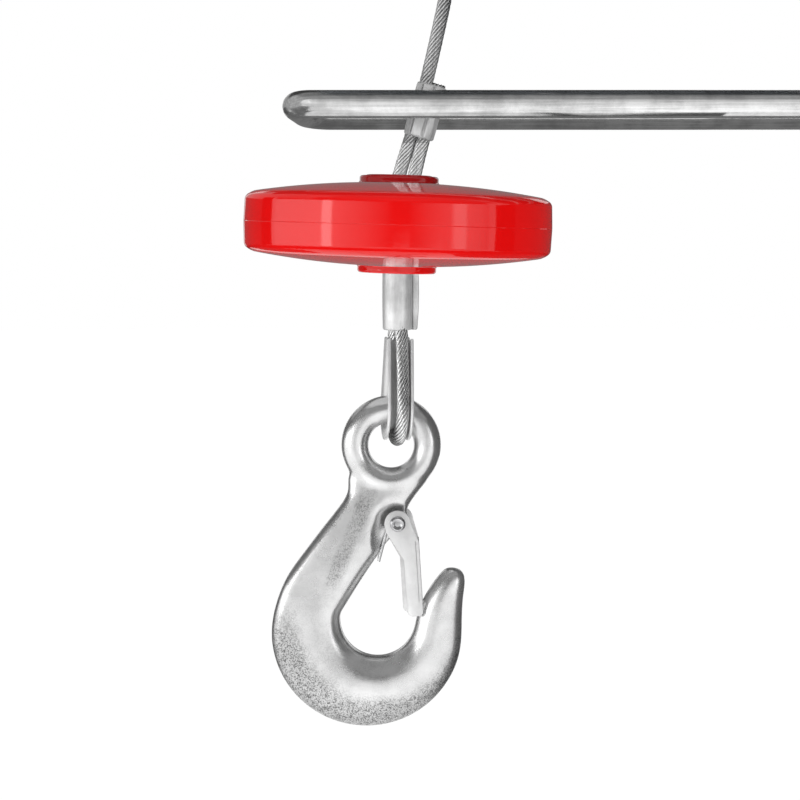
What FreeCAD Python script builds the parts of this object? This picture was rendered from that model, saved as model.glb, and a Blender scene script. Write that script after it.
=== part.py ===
"""Hook end of an electric wire-rope hoist: rope anchor, upper-limit lever and switch, stop disc and hook.

Millimetres, +Z up, +X towards the lever's pivot. The origin is the middle of the frame's
four mounting holes, on its top face, where the rope's end is anchored.
"""

import FreeCAD, Part
import math
import os

from FreeCAD import Vector

os.makedirs("parts", exist_ok=True)

# Wire rope and its pressed ferrules
rope_d = 4.0
rope_gap = 0.3
rope_end_past = 1.0
rope_straight_below = 8.0
ferrule_wall = 0.25
ferrule_round = 0.7
ferrule_fin_height = 1.6
ferrule_fin_thick = 1.4
ferrule_fin_inset = 0.6
ferrule_bore_gap = 0.1
sleeve_length = 10.0
sleeve_round = 0.8
bush_flange_d = 16.0
bush_flange_thick = 3.0
bush_chamfer = 0.6
bush_bore_play = 0.4
bush_shank_wall = 2.1
bush_shank_below = 1.0

# Points of the rope's route, from the photograph
upper_ferrule_top_x = -7.2
upper_ferrule_top_z = -48.7
upper_ferrule_low_x = -11.2
upper_ferrule_low_z = -63.4
lower_ferrule_x = -17.4
lower_ferrule_top = -97.5
lower_ferrule_bottom = -119.4
twist_x = (-15.0, -16.5, -17.2)
twist_z = (-76.0, -83.3, -90.6)
twist_spread = 0.15
leg_bow = 0.3

# Frame: a folded channel whose side walls reach down as ears at one end
wall = 3.0
channel_width = 44.0
channel_depth = 18.0
channel_left = -42.0
fold_inner_r = 1.5
ear_before_pivot = 15.0
ear_past_pivot = 18.0
ear_below_pivot = 13.5
ear_corner_r = 10.0
bolt_spacing_x = 56.0
bolt_spacing_y = 24.0
bolt_hole_d = 6.6

# Thimble in the rope's eye, turned a little about the vertical
eye_yaw = 11.0
eye_drop = 23.418
thimble_sheet = 0.9
thimble_groove_r = 2.6
thimble_flare = 0.4
thimble_flange = 2.2
thimble_below_ferrule = 2.5
thimble_slit = 0.5
ring_play = 0.7

# Forged hook; its places are counted from the middle of its eye
eye_left_of_rope = 1.2
eye_ring_r = 10.65
eye_section_r = 3.95
bowl_left_of_eye = 4.5
bowl_below_eye = 51.7
bowl_r = 11.1
back_left_of_bowl = 3.3
back_below_bowl = 3.6
back_r = 28.1
shank_angle = 36.9
shank_rise = 10.24
shank_swell_in = 0.58
shank_swell_out = 1.11
shank_thick = 10.7
neck_left_of_eye = 4.4
neck_below_eye = 15.3
neck_width = 17.3
neck_angle = 20.0
neck_thick = 9.4
collar_width = 26.0
collar_thick = 7.1
collar_above_neck = 6.0
bowl_thick = 12.4
heel_thick = 11.9
throat_thick = 10.4
throat_angle = 350.0
tip_right_of_throat = 4.05
tip_above_throat = 17.5
tip_lean = 14.0
tip_width = 8.3
tip_thick = 7.0
tip_root_width = 10.0
tip_root_thick = 8.4
tip_root_below = 4.2
tip_end_width = 5.0
tip_end_thick = 4.3
tip_end_above = 3.3
tip_sway = 0.4

# Safety latch, its rivet and its spring; places are counted from the rivet
rivet_right_of_eye = 1.4
rivet_below_eye = 22.8
rivet_d = 3.6
rivet_head_d = 4.6
rivet_head_thick = 0.8
rivet_head_round = 0.5
rivet_play = 0.05
lug_wall = 1.8
lug_half = 1.8
lug_root_r = 6.0
latch_sheet = 1.0
latch_inner_half = 3.2
latch_head_r = 3.9
latch_length = 27.8
latch_shoulder = 3.6
latch_outer = 4.9
latch_inner = 1.0
latch_rear_wider = 1.0
latch_bend = 11.0
latch_tip_gap = 0.26
latch_corner_r = 1.2
latch_web_top = 5.6
latch_recess_play = 3.7
spring_wire_d = 0.9
spring_coil_play = 0.35
spring_gap = 0.1
spring_arm = 9.0
spring_foot_in = 5.6
spring_foot_down = 11.4

# Stop disc: two moulded halves on a core tube, with a ballast ring between them
disc_x = -17.1
disc_tilt = 1.6
disc_r = 45.0
disc_rim_half = 6.0
disc_shoulder_in = 2.4
disc_shoulder_half = 8.75
disc_shoulder_bulge = 0.75
disc_hub_half = 12.65
disc_dome_bulge = 0.45
collar_wall = 1.94
collar_height = 1.45
collar_round = 0.9
seam_chamfer = 0.3
core_wall = 2.0
core_play = 0.06
core_flange_width = 2.5
core_flange_half = 1.5
core_counterbore_play = 0.6
core_counterbore_depth = 5.2
core_throat_play = 0.6
core_throat_length = 3.9
core_mouth_r = 7.5
core_rest_gap = 0.25
hub_wall = 1.94
cavity_roof = 9.3
cavity_step_roof = 8.2
ballast_half = 5.0
ballast_width = 15.8
ballast_play = 0.4
rim_wall = 2.7
disc_screw_count = 3
disc_screw_pcd_r = 20.0
disc_screw_d = 3.0
disc_screw_head_d = 5.6
disc_screw_head_thick = 2.2
disc_screw_head_play = 0.3
disc_screw_seat = 6.6
disc_screw_reach = 5.5
disc_screw_slot_w = 1.0
disc_screw_slot_depth = 1.0
disc_pilot_past = 0.5
boss_wall = 1.9

# Upper-limit lever: a rod bent into a hairpin, held in a hub on a pivot pin
rod_d = 8.0
rod_spacing = 22.0
rod_roll = 6.1
lever_z = -55.5
lever_end_x = -50.5
pivot_x = 130.0
hub_before_pivot = 20.0
hub_past_pivot = 8.0
hub_side_gap = 0.8
hub_half_height = 7.0
hub_tail_r = 3.0
rod_socket = 12.0
roll_pin_d = 3.0
roll_pin_inset = 6.0
pin_d = 8.0
pin_play = 0.06
bush_wall = 1.0
bush_flange_width = 2.0
bush_flange_t = 1.2
bush_gap_half = 2.0
pin_head_d = 12.0
pin_head_t = 2.5
pin_head_round = 0.8
clip_t = 1.0
clip_groove_depth = 0.8
clip_width = 3.3
clip_mouth_w = 5.4
pin_end_past_clip = 1.5
stop_pin_d = 5.0
stop_pin_past_pivot = 6.0
stop_pin_past_ear = 1.0
stop_pin_chamfer = 0.5
stop_gap = 0.05

# Limit switch on its bracket, above the lever's hub
plunger_arm = 16.0
plunger_d = 5.0
plunger_play = 0.05
plunger_out = 3.2
plunger_inside = 6.0
plunger_over = 3.5
plunger_gap = 0.3
plunger_round = 1.4
switch_before_plunger = 10.0
switch_length = 27.0
switch_height = 16.0
switch_half_width = 5.0
switch_round = 1.2
bracket_sheet = 1.5
bracket_foot = 12.0
bracket_short = 1.0
bracket_screw_inset = 6.0
bracket_screw_d = 4.0
bracket_head_d = 7.2
bracket_head_t = 2.2
bracket_nut_af = 7.0
bracket_nut_t = 3.2
switch_screw_d = 3.0
switch_screw_inset = 4.0
switch_head_d = 5.7
switch_head_t = 2.0
switch_nut_af = 5.4
switch_nut_t = 2.4
screw_past_nut = 0.9
terminal_w = 4.8
terminal_t = 0.8
terminal_h = 6.0
terminal_eye_d = 1.8
terminal_eye_below = 2.2
terminal_count = 3
terminal_inset = 4.5
terminal_pitch = 9.0

# Sizes that follow from the values above
half_width = channel_width / 2
inner_half = half_width - wall
rope_r = rope_d / 2
upper_ferrule_top = Vector(upper_ferrule_top_x, 0, upper_ferrule_top_z)
upper_ferrule_low = Vector(upper_ferrule_low_x, 0, upper_ferrule_low_z)
twin_r = rope_r + rope_gap / 2
ferrule_r = twin_r + rope_r + ferrule_wall
ferrule_fin_reach = ferrule_r + ferrule_fin_height
bush_bore_r = rope_r + bush_bore_play
bush_shank_r = bush_bore_r + bush_shank_wall
swing_z = lower_ferrule_bottom - eye_drop
thimble_bend_r = eye_section_r + ring_play
thimble_top = lower_ferrule_bottom - thimble_below_ferrule
eye_rope_r = thimble_bend_r + thimble_sheet + rope_r
ring_angle = math.asin(eye_left_of_rope / eye_ring_r)
eye = Vector(lower_ferrule_x - eye_left_of_rope, 0, swing_z - eye_ring_r * math.cos(ring_angle))
bowl = eye + Vector(-bowl_left_of_eye, 0, -bowl_below_eye)
back = bowl + Vector(-back_left_of_bowl, 0, -back_below_bowl)
rivet = eye + Vector(rivet_right_of_eye, 0, -rivet_below_eye)
lug_r = rivet_d / 2 + lug_wall
latch_recess_r = latch_head_r + latch_recess_play
spring_coil_r = rivet_d / 2 + spring_coil_play + spring_wire_d / 2
spring_y = (lug_half + latch_inner_half) / 2
core_counterbore_r = ferrule_fin_reach + core_counterbore_play
core_throat_r = twin_r + twist_spread + rope_r + core_throat_play
core_r = core_mouth_r + core_wall
core_flange_r = core_r + core_flange_width
collar_r = core_r + core_play + collar_wall
collar_half = disc_hub_half + collar_height
core_shoulder = core_counterbore_depth - collar_half
disc_z = lower_ferrule_top + core_rest_gap - core_shoulder
hub_wall_r = core_flange_r + core_play + hub_wall
cavity_r = disc_r - rim_wall
cavity_step_r = cavity_r - ballast_width
disc_shoulder_r = disc_r - disc_shoulder_in
boss_r = disc_screw_d / 2 + boss_wall
ear_left = pivot_x - ear_before_pivot
channel_right = pivot_x + ear_past_pivot
ear_bottom = lever_z - ear_below_pivot
hub_left = pivot_x - hub_before_pivot
hub_right = pivot_x + hub_past_pivot
hub_half_width = inner_half - bush_flange_t - hub_side_gap
hub_top = lever_z + hub_half_height
bush_r = pin_d / 2 + bush_wall
bush_flange_r = bush_r + bush_flange_width
clip_groove_d = pin_d - 2 * clip_groove_depth
clip_d = clip_groove_d + 2 * clip_width
stop_pin_x = pivot_x + stop_pin_past_pivot
stop_pin_z = hub_top + stop_gap + stop_pin_d / 2
plunger_x = pivot_x - plunger_arm
plunger_tip = hub_top + plunger_gap
switch_bottom = plunger_tip + plunger_out
switch_left = plunger_x - switch_before_plunger
switch_right = switch_left + switch_length

UP = Vector(0, 0, 1)
ALONG_X = Vector(1, 0, 0)
ALONG_Y = Vector(0, 1, 0)


def polar(angle):
    """Direction in the XZ plane, counted in degrees from +X towards +Z."""
    return Vector(math.cos(math.radians(angle)), 0, math.sin(math.radians(angle)))


def box(x0, x1, y0, y1, z0, z1):
    """Box between the given limits."""
    return Part.makeBox(x1 - x0, y1 - y0, z1 - z0, Vector(x0, y0, z0))


def rod_between(start, end, d):
    """Round bar of diameter d from start to end."""
    return Part.makeCylinder(d / 2, (end - start).Length, start, end - start)


def polygon(points):
    """Face inside straight edges through the points."""
    return Part.Face(Part.makePolygon(list(points) + [points[0]]))


def revolved(edges):
    """Solid of revolution about +Z of a closed outline in the XZ plane."""
    return Part.Face(Part.Wire(edges)).revolve(Vector(0, 0, 0), UP, 360)


def line(a, b):
    """Straight edge."""
    return Part.LineSegment(a, b).toShape()


def arc(a, b, c):
    """Circular edge from a through b to c."""
    return Part.Arc(a, b, c).toShape()


def at(r, h):
    """Point of an outline that is turned about +Z."""
    return Vector(r, 0, h)


def routed(points, name):
    """Wire of straight runs joined by tangent arcs; prints the arc radii."""
    edges = []
    radii = []
    start = points[0]
    for before, corner, after in zip(points, points[1:], points[2:]):
        into = (corner - before).normalize()
        out = (after - corner).normalize()
        turn = into.getAngle(out)
        run = min((corner - before).Length, (after - corner).Length)
        cut = 0.45 * run
        radius = cut / math.tan(turn / 2)
        radii.append(round(radius, 1))
        first = corner - into * cut
        last = corner + out * cut
        inward = (out - into).normalize()
        middle = corner + inward * (radius / math.cos(turn / 2) - radius)
        edges.append(line(start, first))
        edges.append(arc(first, middle, last))
        start = last
    edges.append(line(start, points[-1]))
    print(name, "arc radii:", radii)
    return Part.Wire(edges)


def tube(points, d, name):
    """Solid round cord of diameter d along a route; prints how full it is."""
    path = routed(points, name)
    section = Part.Wire(Part.Circle(points[0], points[1] - points[0], d / 2).toShape())
    solid = path.makePipeShell([section], True, False)
    full = solid.Volume / (math.pi * d * d / 4 * path.Length)
    print(name, "length %.1f, volume over section times length %.3f" % (path.Length, full))
    return solid


# Rope route

def eye_axis():
    """Horizontal direction in the plane of the rope's eye, pointing away from the front."""
    a = math.radians(90 + eye_yaw)
    return Vector(math.cos(a), math.sin(a), 0)


def twin_at(k, side):
    """Place of one of the two ropes that pass through the disc; side is 1 for the live rope."""
    turn = math.radians(180 + k * (eye_yaw - 90) / 3)
    reach = twin_r + (twist_spread if k else 0)
    out = Vector(math.cos(turn), math.sin(turn), 0) * reach * side
    return Vector(twist_x[k], 0, twist_z[k]) + out


def leg_points(side):
    """Rope from the lower ferrule's top round to one side of the thimble's bend."""
    out = eye_axis() * side
    middle = Vector(lower_ferrule_x, 0, 0)
    top = middle + out * twin_r + UP * lower_ferrule_top
    low = middle + out * twin_r + UP * lower_ferrule_bottom
    lean = leg_lean()
    half = (math.pi + 2 * lean) / 6
    corner_r = eye_rope_r / math.cos(half)
    angle = lean - half
    corner = middle + out * corner_r * math.cos(angle) + UP * (swing_z + corner_r * math.sin(angle))
    bow = (low + corner) * 0.5 + out * leg_bow
    return [top, low, bow, corner]


def leg_lean():
    """How far the thimble's legs lean from the vertical, in radians."""
    high = lower_ferrule_bottom - swing_z
    far = math.hypot(high, twin_r)
    return math.atan2(high, twin_r) - math.acos(eye_rope_r / far)


def rope_route():
    """Points of the whole rope, from its anchored end down, round the thimble and back up."""
    sideways = Vector(twin_r, 0, 0)
    lean = (upper_ferrule_top - upper_ferrule_low).normalize()
    live = [
        Vector(0, 0, bush_flange_thick + sleeve_length + rope_end_past),
        Vector(0, 0, -rope_straight_below),
        upper_ferrule_top - sideways,
        upper_ferrule_low - sideways,
    ]
    live += [twin_at(k, 1) for k in range(3)]
    half = (math.pi + 2 * leg_lean()) / 6
    bottom = Vector(lower_ferrule_x, 0, swing_z - eye_rope_r / math.cos(half))
    dead = [twin_at(k, -1) for k in reversed(range(3))]
    dead += [
        upper_ferrule_low + sideways,
        upper_ferrule_top + sideways + lean * rope_end_past,
    ]
    return live + leg_points(1) + [bottom] + leg_points(-1)[::-1] + dead


# Frame and rope fittings

def long_edges_at(shape, z):
    """Straight edges along X of a shape at one height."""
    return [e for e in shape.Edges if abs(e.BoundBox.ZMin - z) < 0.01 and e.BoundBox.XLength > wall]


def frame_channel():
    """Folded channel with two ears for the lever's pivot."""
    outer = box(channel_left, channel_right, -half_width, half_width, -channel_depth, 0)
    outer = outer.makeFillet(fold_inner_r + wall, long_edges_at(outer, 0))
    inside = box(channel_left - 1, channel_right + 1, -inner_half, inner_half, -channel_depth - 1, -wall)
    body = outer.cut(inside.makeFillet(fold_inner_r, long_edges_at(inside, -wall)))
    ear = box(ear_left, channel_right, inner_half, half_width, ear_bottom, -channel_depth)
    rounds = [e for e in ear.Edges if e.BoundBox.YLength > 1 and abs(e.BoundBox.ZMax - ear_bottom) < 0.01]
    ear = ear.makeFillet(ear_corner_r, rounds)
    body = body.fuse([ear, ear.mirror(Vector(0, 0, 0), ALONG_Y)]).removeSplitter()
    holes = [Part.makeCylinder(bush_shank_r, 3 * wall, Vector(0, 0, -2 * wall))]
    for sx in (-1, 1):
        for sy in (-1, 1):
            spot = Vector(sx * bolt_spacing_x / 2, sy * bolt_spacing_y / 2, -2 * wall)
            holes.append(Part.makeCylinder(bolt_hole_d / 2, 3 * wall, spot))
    for x in bracket_screw_x():
        spot = Vector(x, bracket_screw_y(), -2 * wall)
        holes.append(Part.makeCylinder(bracket_screw_d / 2, 3 * wall, spot))
    across = Vector(0, channel_width, 0)
    pivot = Vector(pivot_x, -half_width, lever_z) - across / 2
    holes.append(Part.makeCylinder(pin_d / 2, 2 * channel_width, pivot, ALONG_Y))
    stop = Vector(stop_pin_x, -half_width, stop_pin_z) - across / 2
    holes.append(Part.makeCylinder(stop_pin_d / 2, 2 * channel_width, stop, ALONG_Y))
    return body.cut(holes)


def rope_anchor_bush():
    """Flanged bush that carries the rope through the frame's top."""
    flange = Part.makeCylinder(bush_flange_d / 2, bush_flange_thick)
    flange = flange.makeChamfer(bush_chamfer, [flange.Edges[0]])
    low = -wall - bush_shank_below
    stem = Part.makeCylinder(bush_shank_r, -low, Vector(0, 0, low))
    bore = Part.makeCylinder(bush_bore_r, bush_flange_thick - low, Vector(0, 0, low))
    return flange.fuse(stem).cut(bore).removeSplitter()


def rope_stop_sleeve():
    """Pressed sleeve on the rope's end, resting on the bush."""
    seat = Vector(0, 0, bush_flange_thick)
    body = Part.makeCylinder(ferrule_r, sleeve_length, seat)
    body = body.makeFillet(sleeve_round, [e for e in body.Edges if e.Closed])
    bore = Part.makeCylinder(rope_r + ferrule_bore_gap, sleeve_length, seat)
    return body.cut(bore)


def ferrule(length):
    """Pressed ferrule along +Z with the die's flash on its -Y side; its two ropes lie side by side along X."""
    body = Part.makeCylinder(ferrule_r, length)
    body = body.makeFillet(ferrule_round, [e for e in body.Edges if e.Closed])
    fin = box(-ferrule_fin_thick / 2, ferrule_fin_thick / 2, -ferrule_fin_reach, 0, ferrule_fin_inset, length)
    body = body.fuse(fin)
    bore_r = rope_r + ferrule_bore_gap
    for side in (-1, 1):
        body = body.cut(Part.makeCylinder(bore_r, length + 4, Vector(side * twin_r, 0, -2)))
    slot = box(-twin_r, twin_r, -bore_r / 2, bore_r / 2, -2, length + 2)
    return body.cut(slot).removeSplitter()


def ferrule_upper():
    """Ferrule that clamps the rope's dead end, inside the lever's slot."""
    axis = upper_ferrule_top - upper_ferrule_low
    body = ferrule(axis.Length)
    body.Placement = FreeCAD.Placement(upper_ferrule_low, FreeCAD.Rotation(UP, axis))
    return body


def ferrule_lower():
    """Ferrule above the eye, on which the disc rests."""
    body = ferrule(lower_ferrule_top - lower_ferrule_bottom)
    spot = Vector(lower_ferrule_x, 0, lower_ferrule_bottom)
    body.Placement = FreeCAD.Placement(spot, FreeCAD.Rotation(UP, 90 + eye_yaw))
    return body


def thimble():
    """Grooved sheet-metal liner of the rope's eye, bent round the hook's ring."""
    lean = leg_lean()
    tangent = at(eye_rope_r * math.cos(lean), eye_rope_r * math.sin(lean))
    rise = (thimble_top - swing_z) - tangent.z
    left_tangent = Vector(-tangent.x, 0, tangent.z)
    top = tangent + Vector(-rise * math.tan(lean), 0, rise)
    left_top = Vector(-top.x, 0, top.z)
    low = at(0, -eye_rope_r)
    path = Part.Wire([line(top, tangent), arc(tangent, low, left_tangent), line(left_tangent, left_top)])
    section = thimble_section(top, lean)
    body = path.makePipeShell([section], True, True)
    slit = box(-thimble_slit, thimble_slit, -eye_rope_r, eye_rope_r, 0, eye_drop)
    body = body.cut(slit)
    body.Placement = FreeCAD.Placement(
        Vector(lower_ferrule_x, 0, swing_z), FreeCAD.Rotation(UP, 90 + eye_yaw))
    return body


def thimble_section(top, lean):
    """Closed outline of the groove at the top of one leg; the groove opens outwards."""
    out = Vector(math.cos(lean), 0, math.sin(lean))
    floor = thimble_groove_r - rope_r

    def spot(across, outwards):
        return top + ALONG_Y * across + out * (floor + outwards)

    r0 = thimble_groove_r
    r1 = thimble_groove_r + thimble_sheet
    tip0 = r0 + thimble_flare
    tip1 = r1 + thimble_flare
    return Part.Wire([
        arc(spot(-r0, 0), spot(0, -r0), spot(r0, 0)),
        line(spot(r0, 0), spot(tip0, thimble_flange)),
        line(spot(tip0, thimble_flange), spot(tip1, thimble_flange)),
        line(spot(tip1, thimble_flange), spot(r1, 0)),
        arc(spot(r1, 0), spot(0, -r1), spot(-r1, 0)),
        line(spot(-r1, 0), spot(-tip1, thimble_flange)),
        line(spot(-tip1, thimble_flange), spot(-tip0, thimble_flange)),
        line(spot(-tip0, thimble_flange), spot(-r0, 0)),
    ])


# Hook and latch

def oval(center, across, width, thick):
    """Elliptic section of the hook; across points along its width, in the XZ plane."""
    outline = Part.Ellipse(Vector(0, 0, 0), width / 2, thick / 2).toBSpline().toShape()
    along = across.cross(ALONG_Y)
    turn = FreeCAD.Rotation(across, ALONG_Y, along, "XYZ")
    outline.Placement = FreeCAD.Placement(center, turn)
    return Part.Wire(outline)


def middle(edges):
    """Point halfway between the inner and the outer edge of a section."""
    return (edges[0] + edges[1]) * 0.5


def between(edges, thick):
    """Elliptic section that spans from an inner to an outer edge."""
    across = edges[0] - edges[1]
    width = across.Length
    return oval(middle(edges), across.normalize(), width, thick)


def bowl_edges(angle):
    """Points of the bowl's inner circle and of the hook's back circle in one direction."""
    return bowl + polar(angle) * bowl_r, back + polar(angle) * back_r


def shank_edges():
    """Inner and outer edge of the shank, in line with the bowl and the back."""
    out = polar(180 - shank_angle)
    foot = bowl + polar(90 - shank_angle) * shank_rise
    reach = out.dot(back - bowl) + back_r + shank_swell_out
    return foot + out * (bowl_r + shank_swell_in), foot + out * reach


def tip_place(up, inwards):
    """Place on the hook's tip, counted along its lean from its middle."""
    throat = middle(bowl_edges(throat_angle))
    tip = throat + Vector(tip_right_of_throat, 0, tip_above_throat)
    return tip + polar(90 - tip_lean) * up + polar(180 - tip_lean) * inwards


def hook_stem():
    """Neck, shank, bowl and tip of the hook as one smooth body."""
    neck = eye + Vector(-neck_left_of_eye, 0, -neck_below_eye)
    inwards = polar(180 - tip_lean)
    sections = [
        oval(Vector(eye.x, 0, neck.z + collar_above_neck), ALONG_X, collar_width, collar_thick),
        oval(neck, polar(-neck_angle), neck_width, neck_thick),
        between(shank_edges(), shank_thick),
        between(bowl_edges(172), heel_thick),
        between(bowl_edges(215), bowl_thick),
        between(bowl_edges(258), bowl_thick),
        between(bowl_edges(302), heel_thick),
        between(bowl_edges(throat_angle), throat_thick),
        oval(tip_place(-tip_root_below, tip_sway), inwards, tip_root_width, tip_root_thick),
        oval(tip_place(0, 0), inwards, tip_width, tip_thick),
        oval(tip_place(tip_end_above, -tip_sway), inwards, tip_end_width, tip_end_thick),
    ]
    return Part.makeLoft(sections, True, False, False, 5)


def eye_ring():
    """Round ring of the hook's eye, turned from a section at its top."""
    top = eye + UP * eye_ring_r
    section = Part.Circle(top, ALONG_X, eye_section_r).toShape()
    section.rotate(top, ALONG_X, 90)
    return Part.Face(Part.Wire(section)).revolve(eye, ALONG_Y, 360)


def hook_body():
    """Forged hook with its suspension eye and the latch's lug."""
    ring = eye_ring()
    side = ALONG_Y * lug_half
    scoop = Part.makeCylinder(latch_recess_r, bowl_thick, rivet + side, ALONG_Y)
    scoop = scoop.fuse(scoop.mirror(Vector(0, 0, 0), ALONG_Y))
    stem = hook_stem().cut(scoop)
    shank = middle(shank_edges())
    eye_low = eye - UP * eye_ring_r + ALONG_X * (rivet.x - eye.x)
    lug = polygon([p - side for p in (
        rivet + polar(40) * lug_r, eye_low, shank + polar(60) * lug_root_r,
        shank + polar(-30) * lug_root_r, rivet + polar(-100) * lug_r)])
    lug = lug.extrude(side * 2)
    eyelet = Part.makeCylinder(lug_r, 2 * lug_half, rivet - side, ALONG_Y)
    hole = Part.makeCylinder(rivet_d / 2, 2 * bowl_thick, rivet - ALONG_Y * bowl_thick, ALONG_Y)
    return ring.fuse([stem, lug, eyelet]).cut(hole).removeSplitter()


def latch_lean():
    """Angle at which the latch's end meets the hook's tip, with its gap."""
    low = bowl_edges(throat_angle)[0]
    face = (tip_place(-tip_root_below, tip_sway + tip_root_width / 2) - low).normalize()
    away = Vector(-face.z, 0, face.x)
    reach = latch_length - latch_corner_r
    swing = math.acos((latch_tip_gap - away.dot(rivet - low)) / math.hypot(latch_outer, reach))
    turn = math.atan2(away.z, away.x) + swing + math.atan2(reach, latch_outer)
    return math.degrees(turn) - 360


def latch_spot(across, down):
    """Place on the latch: across is counted outwards from the rivet, down along its arm."""
    lean = latch_lean()
    return rivet + polar(lean) * across - polar(90 + lean) * down


def latch_outline(wider):
    """Outline of one cheek below its round head; wider moves its inner edge towards the bowl."""
    return [
        latch_spot(latch_head_r, 0),
        latch_spot(latch_outer, latch_shoulder),
        latch_spot(latch_outer, latch_length),
        latch_spot(latch_inner - wider, latch_length),
        latch_spot(latch_inner - wider, latch_bend),
        latch_spot(-latch_head_r, 0),
    ]


def latch():
    """Folded sheet latch: two cheeks on the rivet joined by a web along the outer edge."""
    cheeks = []
    for side, wider in ((-1, 0.0), (1, latch_rear_wider)):
        y = side * (latch_inner_half + latch_sheet / 2) - latch_sheet / 2
        flat = polygon([p + ALONG_Y * y for p in latch_outline(wider)])
        cheek = flat.extrude(ALONG_Y * latch_sheet)
        head = Part.makeCylinder(latch_head_r, latch_sheet, rivet + ALONG_Y * y, ALONG_Y)
        cheek = cheek.fuse(head)
        ends = [e for e in cheek.Edges if e.BoundBox.YLength > 0.5 * latch_sheet
                and e.BoundBox.ZMax < latch_spot(0, (latch_bend + latch_length) / 2).z]
        cheeks.append(cheek.makeFillet(latch_corner_r, ends))
    hole_r = rivet_d / 2 + rivet_play
    hole = Part.makeCylinder(hole_r, 2 * bowl_thick, rivet - ALONG_Y * bowl_thick, ALONG_Y)
    shape = cheeks[0].fuse([cheeks[1], latch_web()])
    return shape.cut(hole).removeSplitter()


def latch_web():
    """Strip that joins the cheeks, flush with their outer edge."""
    high = latch_web_top
    low = latch_length - latch_corner_r
    under = latch_outer - latch_sheet
    span = latch_inner_half + latch_sheet / 2
    corners = [latch_spot(latch_outer, high), latch_spot(latch_outer, low), latch_spot(under, low),
               latch_spot(under, high)]
    flat = polygon([p - ALONG_Y * span for p in corners])
    return flat.extrude(ALONG_Y * 2 * span)


def latch_rivet():
    """Rivet through the lug and both cheeks, with a domed head at each end."""
    end = latch_inner_half + latch_sheet + rivet_play
    body = Part.makeCylinder(rivet_d / 2, 2 * end, rivet - ALONG_Y * end, ALONG_Y)
    heads = []
    for side in (-1, 1):
        head = Part.makeCylinder(rivet_head_d / 2, rivet_head_thick, rivet + ALONG_Y * end * side,
                                 ALONG_Y * side)
        rim = [e for e in head.Edges if e.Closed and abs(e.BoundBox.Center.y) > end + rivet_head_thick / 2]
        heads.append(head.makeFillet(rivet_head_round, rim))
    return body.fuse(heads).removeSplitter()


def latch_spring():
    """Double torsion spring round the rivet: legs on the shank, a bridge behind the latch's web."""
    behind = latch_outer - latch_sheet - spring_wire_d / 2 - spring_gap
    arm = latch_spot(behind, spring_arm)
    foot = rivet - ALONG_X * spring_foot_in - UP * spring_foot_down
    start = rivet - ALONG_X * spring_coil_r
    stop = rivet + ALONG_X * spring_coil_r
    pieces = []
    for side in (-1, 1):
        lift = ALONG_Y * spring_y * side
        coil = Part.Circle(rivet + lift, ALONG_Y, spring_coil_r).toShape()
        ring = Part.Wire(Part.Circle(stop + lift, UP, spring_wire_d / 2).toShape())
        pieces.append(Part.Wire(coil).makePipeShell([ring], True, False))
        pieces.append(rod_between(start + lift, foot + lift, spring_wire_d))
        pieces.append(rod_between(stop + lift, arm + lift, spring_wire_d))
        pieces.append(Part.makeSphere(spring_wire_d / 2, arm + lift))
    bridge = rod_between(arm - ALONG_Y * spring_y, arm + ALONG_Y * spring_y, spring_wire_d)
    return bridge.fuse(pieces)


# Stop disc, about its own upright axis and then tilted into place

def placed_on_disc(shape):
    """Moves a shape made about the origin to the disc's tilted axis."""
    shape.Placement = FreeCAD.Placement(Vector(disc_x, 0, disc_z), FreeCAD.Rotation(ALONG_Y, disc_tilt))
    return shape


def bulged(a, b, height):
    """Middle of an arc from a to b that rises by height over its chord."""
    chord = b - a
    return (a + b) * 0.5 + Vector(chord.z, 0, -chord.x).normalize() * height


def disc_shell():
    """Upper half of the disc's moulding about +Z, without its screw bosses."""
    rim = at(disc_r, disc_rim_half)
    shoulder = at(disc_shoulder_r, disc_shoulder_half)
    hub = at(collar_r, disc_hub_half)
    fit_r = core_r + core_play
    pocket_r = core_flange_r + core_play
    pocket_h = core_flange_half + core_play
    corner = collar_round * (1 - math.sqrt(0.5))
    crown = at(collar_r - corner, collar_half - corner)
    high = at(collar_r, collar_half - collar_round)
    brow = at(collar_r - collar_round, collar_half)
    spots = [at(pocket_r, 0), at(hub_wall_r, 0), at(hub_wall_r, cavity_roof),
             at(cavity_step_r, cavity_step_roof), at(cavity_step_r, ballast_half),
             at(cavity_r, ballast_half), at(cavity_r, 0),
             at(disc_r - seam_chamfer, 0), at(disc_r, seam_chamfer), rim]
    edges = [line(a, b) for a, b in zip(spots, spots[1:])]
    edges.append(arc(rim, bulged(rim, shoulder, disc_shoulder_bulge), shoulder))
    edges.append(arc(shoulder, bulged(shoulder, hub, disc_dome_bulge), hub))
    edges.append(line(hub, high))
    edges.append(arc(high, crown, brow))
    spots = [brow, at(fit_r, collar_half), at(fit_r, pocket_h), at(pocket_r, pocket_h), at(pocket_r, 0)]
    edges += [line(a, b) for a, b in zip(spots, spots[1:])]
    return revolved(edges)


def screw_spots():
    """Places of the disc's screws about +Z."""
    turns = [2 * math.pi * (k + 0.5) / disc_screw_count for k in range(disc_screw_count)]
    return [Vector(math.cos(t), math.sin(t), 0) * disc_screw_pcd_r for t in turns]


def disc_upper_shell():
    """Upper half, with bosses that take the screws."""
    shape = disc_shell()
    bosses = [Part.makeCylinder(boss_r, cavity_roof, s) for s in screw_spots()]
    deep = disc_screw_reach + disc_pilot_past
    pilots = [Part.makeCylinder(disc_screw_d / 2, deep, s) for s in screw_spots()]
    return placed_on_disc(shape.fuse(bosses).cut(pilots).removeSplitter())


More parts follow.
